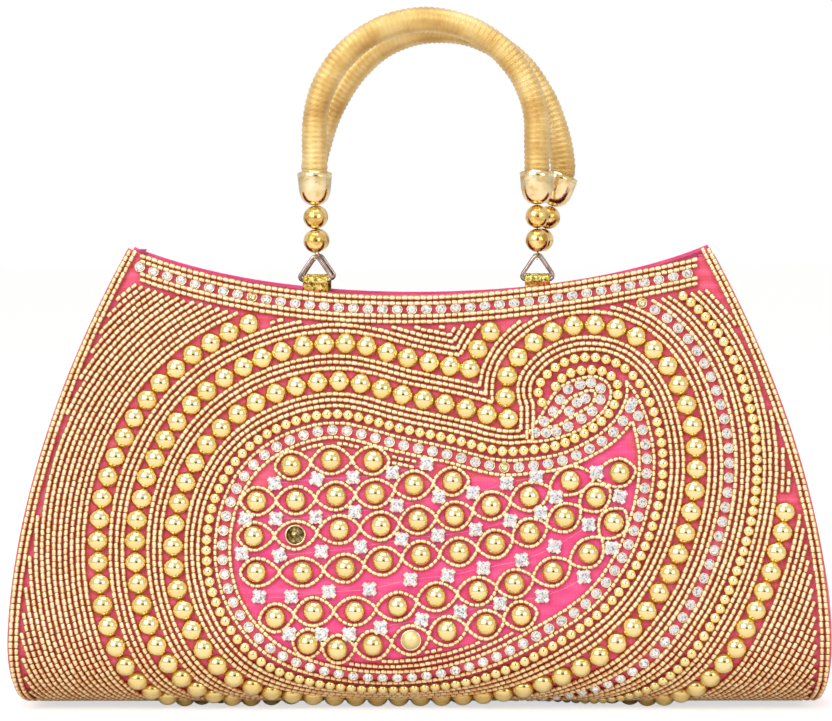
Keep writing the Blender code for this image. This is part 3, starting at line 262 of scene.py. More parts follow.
def spline(points, closed, step):
    """Cubic spline through points, sampled about every step, by chord length."""
    points = np.asarray(points, float)
    if closed:
        points = np.vstack([points, points[:1]])
    chord = np.hypot(*np.diff(points, axis=0).T)
    knots = np.concatenate([[0], np.cumsum(chord)])
    count = len(points)
    system, right = np.zeros((count, count)), np.zeros((count, 2))
    slope = np.diff(points, axis=0) / chord[:, None]
    for i in range(1, count - 1):
        system[i, i - 1:i + 2] = chord[i - 1], 2 * (chord[i - 1] + chord[i]), chord[i]
        right[i] = 6 * (slope[i] - slope[i - 1])
    if closed:
        system[0, [0, 1, -2]] = 2 * (chord[0] + chord[-1]), chord[0], chord[-1]
        right[0] = 6 * (slope[0] - slope[-1])
        system[-1, [0, -1]] = 1, -1
    else:
        system[0, 0] = system[-1, -1] = 1
    second = np.linalg.solve(system, right)
    at = np.linspace(0, knots[-1], max(4, int(knots[-1] / step)), endpoint=not closed)
    i = np.clip(np.searchsorted(knots, at, side="right") - 1, 0, count - 2)
    a = (knots[i + 1] - at)[:, None] / chord[i][:, None]
    b = 1 - a
    square = (chord[i] ** 2)[:, None] / 6
    return (a * points[i] + b * points[i + 1]
            + ((a ** 3 - a) * second[i] + (b ** 3 - b) * second[i + 1]) * square)


def line_to(points, end, step):
    """Points with a straight run added from the last one to end."""
    end = np.asarray(end, float)
    count = max(2, int(np.hypot(*(end - points[-1])) / step))
    share = np.linspace(0, 1, count + 1)[1:, None]
    return np.vstack([points, points[-1] + share * (end - points[-1])])


def nearest(path, place):
    """Index of the point of a path nearest to a place."""
    return int(np.hypot(*(path - place).T).argmin())


def offset_loop(loop, distance):
    """Closed loop moved outwards by distance, less what would come closer than that."""
    ahead = np.roll(loop, -1, axis=0) - np.roll(loop, 1, axis=0)
    normal = np.stack([-ahead[:, 1], ahead[:, 0]], axis=1) / np.hypot(*ahead.T)[:, None]
    moved = loop + normal * distance
    near = np.hypot(*(moved[:, None] - loop[None]).transpose(2, 0, 1)).min(axis=1)
    return moved[near > abs(distance) - 0.05 * MM]


def runs(path, keep, closed):
    """Stretches of a path where keep holds."""
    if keep.all():
        return [np.vstack([path, path[:1]]) if closed else path]
    if closed:
        turn = int(np.argmin(keep))
        path, keep = np.roll(path, -turn, axis=0), np.roll(keep, -turn)
    edges = np.flatnonzero(np.diff(np.concatenate([[0], keep.astype(int), [0]])))
    return [path[a:b] for a, b in zip(edges[::2], edges[1::2]) if b - a > 3]


def evenly(path, pitch, first=None, whole=False, phase=0.0):
    """Points every pitch along a path, and the directions there.

    They start phase pitches after the path's beginning, or where it passes nearest to first.
    Over a whole path the pitch is eased so that the points fill it.
    """
    if first is not None:
        first = metres(first)
        if np.hypot(*(path[0] - first)) > np.hypot(*(path[-1] - first)):
            path = path[::-1]
        path = path[nearest(path, first):]
    length = np.concatenate([[0], np.cumsum(np.hypot(*np.diff(path, axis=0).T))])
    count = int(length[-1] / pitch) if whole else int(length[-1] / pitch) + 1
    spread = length[-1] / count if whole else pitch
    at = (np.arange(count) + phase) * spread
    points, ahead, before = (np.stack([np.interp(at + shift, length, path[:, i])
                                       for i in (0, 1)], axis=1)
                             for shift in (0, pitch / 4, -pitch / 4))
    return points, np.arctan2(*(ahead - before).T[::-1])


# Forms of one bead, stone or setting, seated with z off the silk

def dome_profile(radius, height, foot):
    """Quarter ellipse from the rim to near the pole, on a short upright foot."""
    angle = np.linspace(0, math.radians(84), 6)
    rise = np.stack([radius * np.cos(angle), foot + (height - foot) * np.sin(angle)], axis=1)
    rise[-1] = radius * 0.12, height
    return np.vstack([[radius * 0.97, 0.0], rise])


big_bead = turned_form(dome_profile(BIG_BEAD_D / 2, height=4.2 * MM, foot=0.5 * MM), sides=16,
                       scallop=0.012)
small_bead = turned_form(np.vstack([[1.3 * MM, 0.1 * MM], dome_profile(
    SMALL_BEAD_D / 2, height=3.2 * MM, foot=1.4 * MM)[1:]]), sides=12)


def bugle_form(length, radius, sides=6):
    """Short glass tube along x with its ends drawn in, seated on the silk."""
    x = np.array([-0.5, -0.42, 0.42, 0.5]) * length
    r = np.array([0.66, 1, 1, 0.66]) * radius
    turn = (np.arange(sides) + 0.5) * 2 * math.pi / sides
    rings = np.stack([np.repeat(x[:, None], sides, axis=1), r[:, None] * np.cos(turn),
                      r[:, None] * np.sin(turn)], axis=-1)
    return tube_form(rings)


bugle = bugle_form(length=2.28 * MM, radius=BUGLE_D / 2)
seed = bugle_form(length=2.0 * MM, radius=0.88 * MM)


def cut_stone(radius, low, girdle, height, sides=8):
    """Brilliant: a flat table, eight kites and sixteen small facets down to the girdle.

    Every facet has its own points, so that none shares its normal with the next.
    """
    turn = np.arange(sides * 2) * math.pi / sides
    rim = np.stack([radius * np.cos(turn), radius * np.sin(turn),
                    np.full(sides * 2, girdle)], axis=1)
    half = turn[::2]
    table = np.stack([0.56 * radius * np.cos(half), 0.56 * radius * np.sin(half),
                      np.full(sides, height)], axis=1)
    triangles = []
    for i in range(sides):
        j = (i + 1) % sides
        a, b, c = rim[2 * i], rim[2 * i + 1], rim[(2 * i + 2) % (2 * sides)]
        triangles += [(table[i], a, b), (table[i], b, table[j]), (table[j], b, c)]
        triangles.append(([0, 0, height], table[i], table[j]))
    points = np.array(triangles).reshape(-1, 3)
    skirt = len(points)
    foot = rim * [1, 1, 0] + [0, 0, low]
    points = np.vstack([points, rim, foot])
    ring = np.arange(2 * sides)
    wall = np.stack([skirt + 2 * sides + ring, skirt + 2 * sides + np.roll(ring, -1),
                     skirt + np.roll(ring, -1), skirt + ring], axis=1)
    return points, [(np.arange(skirt).reshape(-1, 3), False, 0), (wall, False, 0),
                    ((skirt + 2 * sides + ring[::-1])[None], False, 0)]


def cup_form(radius, height, sides=10):
    """Open metal cup round a stone: outer wall, rolled lip and inner wall."""
    profile = np.array([(radius * 0.9, 0), (radius, height * 0.5), (radius * 1.02, height),
                        (radius * 0.9, height * 1.08), (radius * 0.8, height * 0.5),
                        (radius * 0.75, 0.05 * MM)])
    return turned_form(profile, sides)


def claw_form(side, height):
    """Four double claws at a square's corners, each leaning in over the stone."""
    blocks, quads, ends = [], [], []
    ring = np.arange(5) * 2
    for corner in range(4):
        for spread in (-0.17, 0.17):
            angle = math.pi / 4 + corner * math.pi / 2 + spread
            out = np.array([math.cos(angle), math.sin(angle), 0])
            across = np.array([-out[1], out[0], 0]) * 0.46 * MM
            for r, z in ((0.66, 0.2 * MM), (0.68, height * 0.7), (0.5, height),
                         (0.38, height * 0.88), (0.42, 0.2 * MM)):
                middle = out * r * side * 0.5 * 1.3 + [0, 0, z]
                blocks += [middle - across, middle + across]
            base = len(blocks) - 10
            quads += [(base + a, base + a + 1, base + b + 1, base + b)
                      for a, b in zip(ring, np.roll(ring, -1))]
            ends += [base + ring, base + 1 + ring[::-1]]
    return np.array(blocks), [(np.array(quads), False, 0), (np.array(ends), False, 0)]


chain_stone = cut_stone(radius=1.85 * MM, low=0.4 * MM, girdle=1.2 * MM, height=2.3 * MM,
                        sides=6)
chain_cup = cup_form(radius=2.05 * MM, height=1.35 * MM)
claw_stone = cut_stone(radius=2.5 * MM, low=0.3 * MM, girdle=1.5 * MM, height=3.0 * MM)
claw_setting = claw_form(side=7.0 * MM, height=2.6 * MM)
claw_plate = turned_form([(2.3 * MM, 0.1 * MM), (2.45 * MM, 0.6 * MM), (2.1 * MM, 1.1 * MM)], 8)


# Materials

def linear(code):
    """Linear colour of an sRGB hex code."""
    value = np.array([int(code[i:i + 2], 16) for i in (0, 2, 4)]) / 255
    value = np.where(value <= 0.04045, value / 12.92, ((value + 0.055) / 1.055) ** 2.4)
    return (*value.tolist(), 1.0)


def add(tree, kind, settings=(), **links):
    """A node with its settings, its named inputs linked to sockets or set to values."""
    node = tree.nodes.new(kind)
    for key, value in dict(settings).items():
        setattr(node, key, value)
    for key, value in links.items():
        socket = node.inputs[int(key[1:]) if key[1:].isdigit() else key.replace("_", " ")]
        if isinstance(value, bpy.types.NodeSocket):
            tree.links.new(value, socket)
        else:
            socket.default_value = value
    return node


def material(name, colour, rough, metal=0.0, **sockets):
    """Principled material with its constants on the shader. Returns it, its tree and shader."""
    made = bpy.data.materials.new(name)
    made.use_nodes = True
    tree = made.node_tree
    shader = tree.nodes["Principled BSDF"]
    shader.inputs["Base Color"].default_value = linear(colour)
    shader.inputs["Roughness"].default_value = rough
    shader.inputs["Metallic"].default_value = metal
    for key, value in sockets.items():
        shader.inputs[key.replace("_", " ")].default_value = value
    return made, tree, shader


def ramp(tree, factor, *stops):
    """Colour ramp output from (position, hex) stops."""
    node = add(tree, "ShaderNodeValToRGB", Fac=factor)
    band = node.color_ramp
    while len(band.elements) < len(stops):
        band.elements.new(0.5)
    for element, (position, code) in zip(band.elements, stops):
        element.position = position
        element.color = linear(code)
    return node.outputs["Color"]


def maths(tree, operation, *values):
    """Output of a Math node over sockets or numbers."""
    return add(tree, "ShaderNodeMath", dict(operation=operation),
               **{f"_{i}": value for i, value in enumerate(values)}).outputs[0]


def colour_by(tree, shader, factor, *stops):
    """Base colour of a shader from a ramp over factor."""
    tree.links.new(ramp(tree, factor, *stops), shader.inputs["Base Color"])


def coords(tree):
    """Object coordinates, in metres."""
    return add(tree, "ShaderNodeTexCoord").outputs["Object"]


def bump(tree, shader, height, strength, distance):
    """Bump on a shader from a height."""
    node = add(tree, "ShaderNodeBump", Strength=strength, Distance=distance, Height=height)
    tree.links.new(node.outputs["Normal"], shader.inputs["Normal"])


def shade_of(tree):
    """The value that each bead was given."""
    return add(tree, "ShaderNodeAttribute", dict(attribute_name="shade")).outputs["Fac"]


def noise(tree, scale, detail=2.0, vector=None):
    """Noise factor at a scale in cycles per metre."""
    return add(tree, "ShaderNodeTexNoise", Vector=vector or coords(tree), Scale=scale,
               Detail=detail).outputs["Fac"]


def surface(name, colour, rough, metal, tint=(), relief=(), **sockets):
    """Material mottled by noise: tint is (scale, detail, stops...) of its colour, and relief is
    (scale, detail, strength, distance) of its bump."""
    made, tree, shader = material(name, colour, rough, metal, **sockets)
    if tint:
        colour_by(tree, shader, noise(tree, *tint[:2]), *tint[2:])
    if relief:
        bump(tree, shader, noise(tree, *relief[:2]), *relief[2:])
    return made


# Metal-plated plastic beads: mirror gold over a moulded half round, less metallic towards the rim,
# with faint pits in the plating. Their colour carries painted light: pale towards the top as a
# painted highlight, deep orange at the rim as a painted reflection of the cloth round them.
bead_gold, tree, shader = material("plated_plastic_bead", "F4D88C", 0.13, 1.0)
colour_by(tree, shader, shade_of(tree), (0.0, "C27A2C"), (0.16, "DDA850"), (0.4, "EACB7C"),
          (1.0, "F6E3A6"))
tree.links.new(ramp(tree, shade_of(tree), (0.1, "8C8C8C"), (0.5, "FAFAFA")),
               shader.inputs["Metallic"])
bump(tree, shader, noise(tree, 900), 0.05, 0.1 * MM)

# Silver-lined glass bugles: the pale champagne along the top of each bead is a painted highlight
# of the lining, and the brown down its sides is partly the amber of the glass and partly painted
# shade.
bugle_glass, tree, shader = material("silver_lined_glass", "F6E0B4", 0.26, 0.5)
colour_by(tree, shader, shade_of(tree), (0.3, "C4723C"), (0.58, "DCA062"), (0.78, "F7DCA8"),
          (1.0, "FDEBC4"))
bump(tree, shader, noise(tree, 1500), 0.12, 0.1 * MM)

# Foil-backed cut glass: patches from white to grey as painted reflections, for facets that return
# light or lose it.
crystal = surface("foil_backed_glass", "F2F4F8", 0.14, 0.3,
                  (1400, 1.0, (0.34, "9A9AA0"), (0.48, "F2F3F6"), (1.0, "FFFFFF")))

# Stamped settings: silver-plated brass for the claws, pale gold for the chain cups.
setting = surface("silver_plated_setting", "F6F5F2", 0.2, 0.6,
                  relief=(1200, 2.0, 0.1, 0.1 * MM))
cup_gold = surface("gold_plated_cup", "F3E0B6", 0.2, 1.0, relief=(1200, 2.0, 0.1, 0.1 * MM))

# A half bead sewn on face down shows its bare moulded back: a dark mirror or dull gold.
mirror_back = surface("bare_bead_back", "7E6A3E", 0.2, 0.9,
                      (700, 3.0, (0.35, "4A3B1E"), (0.55, "8F7A48"), (0.75, "E9DDB8")))
flat_gold = surface("dull_plated_back", "F3DCA0", 0.45, 0.7, relief=(600, 2.0, 0.2, 0.2 * MM))


WAVE_SCALE = 6.28           # bands of the wave texture for each unit of its scale
WEAVE = 0.6 * MM


def silk_material(name, base, dark, light, heart=None):
    """Plain woven silk: crossing threads of two near colours, with slubs and a soft sheen.

    Where the shade is 1 it takes the colour heart; elsewhere it keeps its base, dark and light
    colours, which on the bead-lit silk are coral as painted light from the beads."""
    made, tree, shader = material(name, base, 0.5, 0.0, Sheen_Weight=0.35, Sheen_Roughness=0.4,
                                  Specular_IOR_Level=0.35)
    place = coords(tree)
    threads = [add(tree, "ShaderNodeTexWave", dict(bands_direction=axis), Vector=place,
                   Scale=1 / WEAVE / WAVE_SCALE, Distortion=1.2, Detail=1.0).outputs["Fac"]
               for axis in ("X", "Z")]
    both = maths(tree, "MULTIPLY", *threads)
    slub = noise(tree, 90, 3.0, add(tree, "ShaderNodeMapping", Vector=place,
                                    Scale=(1, 1, 4)).outputs[0])
    mixed = maths(tree, "MULTIPLY_ADD", both, 0.12, slub)
    colour = ramp(tree, mixed, (0.35, dark), (0.55, base), (0.85, light))
    if heart:
        blend = add(tree, "ShaderNodeMix", dict(data_type="RGBA"), _0=shade_of(tree), _6=colour,
                    _7=ramp(tree, mixed, (0.35, "E84480"), (0.55, heart), (0.85, "F86CA0")))
        colour = blend.outputs[2]
    tree.links.new(colour, shader.inputs["Base Color"])
    bump(tree, shader, both, 0.12, 0.15 * MM)
    return made


# Hot pink dupion silk, thread spacing 0.35 mm drawn at 0.6 mm so that it shows. Among the bead
# rows its colour is painted coral, as painted light that the amber glass throws on it.
silk_painted_bead_light = silk_material("silk_with_painted_bead_light", "EC5878", "D84A5C", "F27A94", "F25088")
silk = silk_material("woven_pink_silk", "EA4482", "DC3872", "F05C96")
# The lining silk is painted a dark crimson for the shade deep inside the mouth.
lining_silk = silk_material("woven_lining_silk", "B4264F", "9A1A40", "C63A62")

FINE_THREAD = 0.5           # between the threads in one turn, in millimetres

# Satin rayon thread wound on the handle cores: warm gold, finer threads along each turn.
wound, tree, shader = material("wound_rayon_thread", "DDA94E", 0.38, 0.5, Sheen_Weight=0.3,
                               Specular_IOR_Level=0.6, Anisotropic=0.4)
fine = maths(tree, "SINE", maths(tree, "MULTIPLY", shade_of(tree), 6283.0 / FINE_THREAD))
tone = maths(tree, "MULTIPLY_ADD", fine, 0.10, noise(tree, 90, 2.0))
colour_by(tree, shader, tone, (0.2, "BE8E44"), (0.5, "E2BC6E"), (0.85, "F6DEA6"))
bump(tree, shader, fine, 0.5, 0.12 * MM)

# Gold-plated stamped caps: pale mirror gold with rubbed high spots and a crushed surface.
cap_gold = surface("gold_plated_cap", "F2D9A6", 0.17, 1.0,
                   (240, 4.0, (0.3, "D8B06A"), (0.5, "F2D9A6"), (0.8, "FBEBC8")),
                   (420, 3.0, 0.25, 0.4 * MM))

# Gold-foiled round beads of the handles: crackled foil over a pressed bead.
foil_gold = surface("foiled_round_bead", "EBC878", 0.2, 1.0,
                    (300, 5.0, (0.35, "C7923E"), (0.5, "EBC878"), (0.7, "FAE3A8")),
                    (500, 4.0, 0.35, 0.4 * MM))

# Nickel-plated steel wire rings, drawn smooth, a little warm.
ring_steel = surface("nickel_plated_wire", "AD988E", 0.24, 1.0,
                     (300, 3.0, (0.3, "7A655D"), (0.6, "BBA79D")))

# Lurex cloth tabs: flat metal yarn over a yellow ground, its glitter painted: cells from dark
# brown to pale yellow as painted glints from yarn to yarn.
lurex, tree, shader = material("lurex_cloth", "D8B93C", 0.3, 0.8)
spark = add(tree, "ShaderNodeTexVoronoi", Vector=coords(tree), Scale=1500.0).outputs["Color"]
yarn_and_glint = add(tree, "ShaderNodeSeparateColor", Color=spark).outputs[0]
colour_by(tree, shader, yarn_and_glint, (0.1, "6A5418"), (0.35, "CFAE34"), (0.9, "FFF3A0"))
bump(tree, shader, yarn_and_glint, 0.8, 0.3 * MM)

# Grey board and brass fittings that the dress leaves as they are.
board_paper = surface("grey_board", "B8AC98", 0.9, 0.0, relief=(800, 4.0, 0.3, 0.2 * MM))
snap_brass = surface("pressed_brass_snap", "E5C98C", 0.3, 1.0, relief=(900, 2.0, 0.1, 0.1 * MM))

# Monofilament that carries the claw stones, clear and only just seen.
nylon = surface("clear_monofilament", "F6D3E0", 0.25, 0.0, Alpha=0.45)


# The paisley and the lines that follow it, in cloth millimetres

PAISLEY = [(46.8, 85.2), (45.4, 89.9), (48.5, 95.5), (54.5, 100), (65, 102.3), (76.4, 99.2),
           (84.5, 91), (89.9, 78.5), (92.3, 63.2), (89.8, 44), (82, 23.5), (69, 6.4), (49.5, -6.9),
           (24, -19), (-8, -25.4), (-37.5, -21.8), (-60.9, -10.5), (-75, 7.5), (-79.8, 29.1),
           (-76.5, 49.5), (-65, 67.5), (-45, 78.8), (-30, 81), (-10, 76.4), (16.6, 70.4),
           (34, 66.6), (42, 67.2)]
NOTCH = (46.5, 67.5)
CURL_TOP = (76.4, 99.2)
CURL_SHARE = 0.62           # of the curl's arm that the rows inside follow
CURL_ARM = [(42, 67.2), (52, 68.7), (62, 73), (70, 78.6), (74.6, 85.5), (75.5, 91.5), (72, 96.0),
            (64, 97.6), (56, 95.6), (51.9, 91.4), (51.0, 88.2)]
CURL_OUTER = [(41.2, 71.2), (44.6, 77.6), (48.0, 82.9), (51.1, 88.2), (56.0, 92.4), (63.2, 94.8),
              (68.5, 94.6), (72.3, 91.2), (72.6, 86.7), (70.0, 81.9), (64.7, 77.2), (57.1, 73.1),
              (49.2, 71.0)]
CURL_INNER = [(48.8, 76.1), (53.0, 81.0), (56.4, 85.9), (61.3, 88.6), (66.6, 89.3), (66.6, 86.3),
              (62.8, 82.5), (56.7, 78.7), (51.1, 76.1)]
CURL_STONES = [(44.3, 73.8), (48.4, 73.8), (52.2, 74.2), (56.7, 76.1), (61.7, 79.1),
               (65.8, 81.9), (68.9, 86.3), (69.0, 90.5), (65.4, 92.7), (61.3, 92.0),
               (56.7, 90.3), (53.7, 86.3), (51.1, 81.8), (47.7, 78.0), (57.1, 81.8),
               (60.1, 85.2), (63.2, 86.7)]
LATTICE = [
    [(-48.0, 61.6), (-32.9, 63.6), (-17.0, 63.4)],
    [(-60.9, 48.1), (-46.2, 48.4), (-31.0, 50.0), (-16.3, 50.9), (-1.5, 54.1), (13.0, 55.4)],
    [(-62.0, 34.8), (-46.2, 35.2), (-29.7, 37.3), (-14.0, 38.6), (0.0, 40.9), (13.8, 42.4),
     (27.6, 46.2), (42.0, 49.6), (57.4, 55.6), (76.0, 58.6)],
    [(-60.9, 21.2), (-43.5, 21.2), (-27.4, 22.7), (-13.2, 25.4), (1.1, 27.6), (15.5, 28.8),
     (29.1, 31.8), (42.0, 36.0), (55.2, 41.6), (67.0, 49.2)],
    [(-53.7, 4.0), (-39.3, 6.4), (-23.8, 6.4), (-7.6, 8.3), (6.8, 11.9), (22.7, 14.0),
     (36.3, 16.8), (50.7, 21.2), (64.1, 28.2), (73.7, 39.8)],
    [(-41.5, -5.5), (-30.3, -7.6), (-17.0, -6.1), (-2.6, -4.2), (11.0, -0.8), (25.7, 1.5),
     (38.8, 4.9)],
]
LATTICE_FIELD = [(-70, 26), (-66, 47), (-52, 62), (-30, 67), (20, 60), (46, 58), (60, 66),
                 (78, 76), (84, 62), (80, 42), (72, 22), (48, 5), (20, -8), (-10, -14),
                 (-38, -12), (-58, 0)]
MIRROR_BEAD, DULL_BEAD = (-46.2, 35.2), (-2.6, -4.2)
CLAW_ROWS = [
    [(-54.1, 54.8), (-38.2, 56.4), (-24.5, 57.0), (-9.6, 58.8), (3.4, 62.1)],
    [(-53.6, 41.4), (-38.5, 42.0), (-23.8, 44.0), (-7.9, 46.3), (7.9, 49.6),
     (20.8, 51.1), (33.5, 54.7), (44.6, 57.0)],
    [(52.0, 49.4), (67.3, 58.7)], [(-65.1, 41.3), (-66.4, 28.3)],
    [(-52.2, 27.6), (-36.3, 29.0), (-21.6, 30.7), (-6.1, 33.6), (7.6, 35.0),
     (21.8, 37.2), (34.8, 40.5), (46.3, 43.4)],
    [(-59.8, 12.0), (-47.6, 12.0), (-33.5, 13.8), (-18.2, 14.8), (-2.8, 18.4), (11.3, 19.9),
     (24.7, 22.7), (39.1, 25.7), (51.4, 30.8), (64.3, 39.0), (76.0, 49.6)],
    [(-48.4, -1.9), (-36.2, -2.0), (-25.7, -2.0), (-14.0, 0.4), (1.5, 3.3), (16.0, 6.3),
     (30.9, 9.3), (46.7, 12.1), (62.4, 19.3), (72.9, 30.1)],
]
STEP = 0.6 * MM
body_edge = spline(metres(PAISLEY), False, STEP)
outline = line_to(line_to(body_edge, metres(NOTCH), STEP), body_edge[0], STEP)[:-1]
curl_arm = spline(metres(CURL_ARM), False, STEP)
inner_edge = body_edge[nearest(body_edge, metres(CURL_TOP)):]
inner_outline = np.vstack([inner_edge, curl_arm[1:int(len(curl_arm) * CURL_SHARE)]])
curl_outer = spline(metres(CURL_OUTER), True, STEP)
curl_inner = spline(metres(CURL_INNER), True, STEP)


def inside(points, top, side, low):
    """Whether points lie on the cloth, clear of its borders."""
    u, v = points.T
    return (v < mouth_v(u) - top) & (np.abs(u) < half_width(v) - side) & (v > SEAM_V + low)


def left_family(points):
    """Left of the paisley's tip, and most of the base."""
    u, v = points.T
    return u < np.where(v > 0, 40, 20) * MM


def right_family(points):
    """Right of the paisley's tip, and the right end of the base."""
    return ~left_family(points)


def round_paisley(distance, part=None, top=12.4, side=5.4):
    """Stretches of the paisley's edge moved outwards that the borders and a part leave."""
    path = offset_loop(outline, distance * MM)
    keep = inside(path, top * MM, side * MM, side * MM)
    if part:
        keep &= part(path)
    return runs(path, keep, True)


def longest(paths):
    """The longest of several paths."""
    return max(paths, key=len)


# Where the bugle rows run: their distances from the paisley's edge, in cloth millimetres
rows = []
for distances, part in (
        ((3.2, 5.45, 7.7, 17.5, 19.8, 22.05), None),
        ([31.75, 34.05, 36.35] + [46.5 + ROW_PITCH * k for k in range(34)], left_family),
        ([27.5, 29.9, 32.0, 38.1, 40.3, 42.6] + [52.9 + ROW_PITCH * k for k in range(24)],
         right_family),
        ((45.1, 47.4, 49.7), lambda p: right_family(p) & (p[:, 1] > 50 * MM))):
    for distance in distances:
        rows += round_paisley(distance, part)
for distance in [38.65 + ROW_PITCH * k for k in range(9)]:
    rows += round_paisley(distance, lambda p: left_family(p) & (p[:, 1] > 95 * MM)
                          & (p[:, 0] > (-57 + max(0, distance - 46)) * MM))
across = np.linspace(-1, 1, 320) * (MOUTH_HALF - 4.6 * MM)


def under_mouth(drop):
    """Line across the cloth, drop below its mouth."""
    return np.stack([across, mouth_v(across) - drop * MM], axis=1)


border_rows = [under_mouth(drop) for drop in (1.35, 3.5, 8.3, 10.5)]
down = np.linspace(SEAM_V + 1.3 * MM, FLAT_LENGTH - 1.2 * MM, 330)
for inset in (1.4 * MM, 3.6 * MM):
    for side in (-1, 1):
        border_rows.append(np.stack([side * (half_width(down) - inset), down], axis=1))
base_reach = np.linspace(-0.96, 0.96, 300) * BASE_WIDTH / 2
border_rows += [np.stack([base_reach, np.full(300, SEAM_V + inset)], axis=1)
                for inset in (1.4 * MM, 3.6 * MM)]

bead_points = np.vstack([np.array(row) for row in LATTICE]) * MM
claw_points = np.vstack([np.array(row) for row in CLAW_ROWS]) * MM


CLEAR_OF_BEAD, CLEAR_OF_STONE = 6.6 * MM, 3.6 * MM


def clear_of_lattice(path):
    """Whether points keep off the lattice's beads and stones."""
    beads = np.hypot(*(path[:, None] - bead_points).transpose(2, 0, 1)).min(axis=1)
    stones = np.hypot(*(path[:, None] - claw_points).transpose(2, 0, 1)).min(axis=1)
    return (beads > CLEAR_OF_BEAD) & (stones > CLEAR_OF_STONE)


inner_rows = [offset_loop(inner_outline, distance * MM) for distance in (-3.3, -8.8)]
for distance in (-11.1, -13.3, -15.5):
    path = offset_loop(inner_outline, distance * MM)
    keep = clear_of_lattice(path) & ((path[:, 1] < 6 * MM) | (
        (path[:, 1] > 60 * MM) & (path[:, 0] < 30 * MM)))
    inner_rows += [run for run in runs(path, keep, True) if len(run) > 12]
inner_rows += [np.vstack([curl_outer, curl_outer[:1]]), np.vstack([curl_inner, curl_inner[:1]])]


def strung(paths, step, wobble):
    """Bead centres and headings along paths, each a little off its line as sewn by hand."""
    points, headings = [], []
    for path in paths:
        if len(path) < 5:
            continue
        place, heading = evenly(path, step, whole=True, phase=0.5)
        sway = np.cumsum(rng.normal(0, 0.35, len(place)))
        sway = (sway - np.linspace(sway[0], sway[-1], len(place))) * 0.06
        off = (rng.normal(0, 0.5, len(place)) + sway) * wobble
        points.append(place + np.stack([-np.sin(heading), np.cos(heading)], axis=1) * off[:, None])
        headings.append(heading + rng.normal(0, 0.05, len(place)))
    return np.vstack(points), np.concatenate(headings)


def bead_batch(form, points, headings, lift, stretch=0.0):
    """Batch of one form seated at points, with slight changes of length.

    Its shade is the height over its highest point, a little different for each copy; the plated
    bead and bugle materials paint their light and shade by it, lightest at the top."""
    origins, axes = seats(points, headings, lift)
    size = np.ones((len(points), 3, 1))
    size[:, 0, 0] += rng.uniform(-stretch, stretch, len(points))
    height = form[0][:, 2] / form[0][:, 2].max()
    own = rng.uniform(-0.12, 0.12, len(points))
    return form, origins, axes * size, np.clip(height + own[:, None], 0, 1)


BUGLE_LIFT = 0.15 * MM + BUGLE_D / 2
BUGLE_STRETCH, SEED_STRETCH = 0.07, 0.08
points, headings = strung(rows, BUGLE_STEP, wobble=0.12 * MM)
left = points[:, 0] < -30 * MM
middle = ~left & (points[:, 0] < 75 * MM)
for name, part, nodes in (
        ("bugle_rows_left_side", left, ("bugle_field_left", "bugle_rows_left")),
        ("bugle_rows_round_paisley", middle, ("bugle_rows_inner", "bugle_rows_middle")),
        ("bugle_rows_right_side", ~left & ~middle, ("bugle_field_right", "bugle_rows_right"))):
    build_mesh(name, [bead_batch(bugle, points[part], headings[part], BUGLE_LIFT, BUGLE_STRETCH)],
               [bugle_glass], nodes)
points, headings = strung(border_rows, BUGLE_STEP, wobble=0.1 * MM)
build_mesh("bugle_borders", [bead_batch(bugle, points, headings, BUGLE_LIFT, BUGLE_STRETCH)],
           [bugle_glass], ("bugle_border_top", "bugle_border_sides"))
points, headings = strung(inner_rows, 2.15 * MM, wobble=0.1 * MM)
build_mesh("bugle_rows_in_paisley",
           [bead_batch(seed, points, headings, 0.9 * MM, SEED_STRETCH)],
           [bugle_glass], ("bugle_rows_paisley",))


def bead_row(name, form, points, headings, lift, node):
    """Row of plated beads of one form."""
    build_mesh(name, [bead_batch(form, points, headings, lift)], [bead_gold], (node,))


# Rows of big round beads: how far from the paisley and the mouth, where, and their pitch
for name, distance, part, top, pitch, first, node in (
        ("round_beads_outer_left", 41.2, lambda p: p[:, 0] < 0, 16, 8.17, (-62.4, 116.2),
         "bead_row_outer_left"),
        ("round_beads_middle", 26.9, left_family, 15.9, 8.1, (28.3, 111.1), "bead_row_middle"),
        ("round_beads_outer_right", 47.6, lambda p: right_family(p) & (p[:, 1] < 46 * MM),
         16, 7.8, (138.5, 43.5), "bead_row_outer_right")):
    path = longest(round_paisley(distance, part, top, side=9))
    points, headings = evenly(path, pitch * MM, first)
    points += rng.normal(0, 0.12 * MM, points.shape)
    bead_row(name, big_bead, points, headings, 0.0, node)
path = offset_loop(outline, 12.6 * MM)
path = np.roll(path, -nearest(path, metres(NOTCH)), axis=0)
bead_row("round_beads_inner", big_bead, *evenly(
    np.vstack([path, path[:1]]), 8.1 * MM, whole=True), 0.0, "bead_row_inner")

# Strings of small round beads: the paisley's edge with its curl, and one row on the right
bead_row("small_beads_paisley", small_bead, *evenly(
    np.vstack([body_edge, curl_arm[1:]]), 4.0 * MM), 0.1 * MM, "small_bead_string")
path = longest(round_paisley(35.3, right_family, top=13.5, side=7))
bead_row("small_beads_right", small_bead, *evenly(path, 3.9 * MM, (96.1, 125.7)), 0.1 * MM,
         "small_bead_row_right")


def with_slot(batch, slot):
    """Batch whose form uses another material slot."""
    (points, faces), *rest = batch
    return ((points, [(polygons, soft, slot) for polygons, soft, _ in faces]), *rest)


def stone_chain(name, points, node, empty=()):
    """Stones in cups at points. A cup at an empty place has lost its stone."""
    points = np.asarray(points)
    keep = np.full(len(points), True)
    for place in empty:
        keep[nearest(points, metres(place))] = False
    turn = rng.uniform(0, math.pi, len(points))
    build_mesh(name, [bead_batch(chain_cup, points, turn, 0.0),
                      with_slot(bead_batch(chain_stone, points[keep], turn[keep], 0.0), 1)],
               [cup_gold, crystal], (node,))


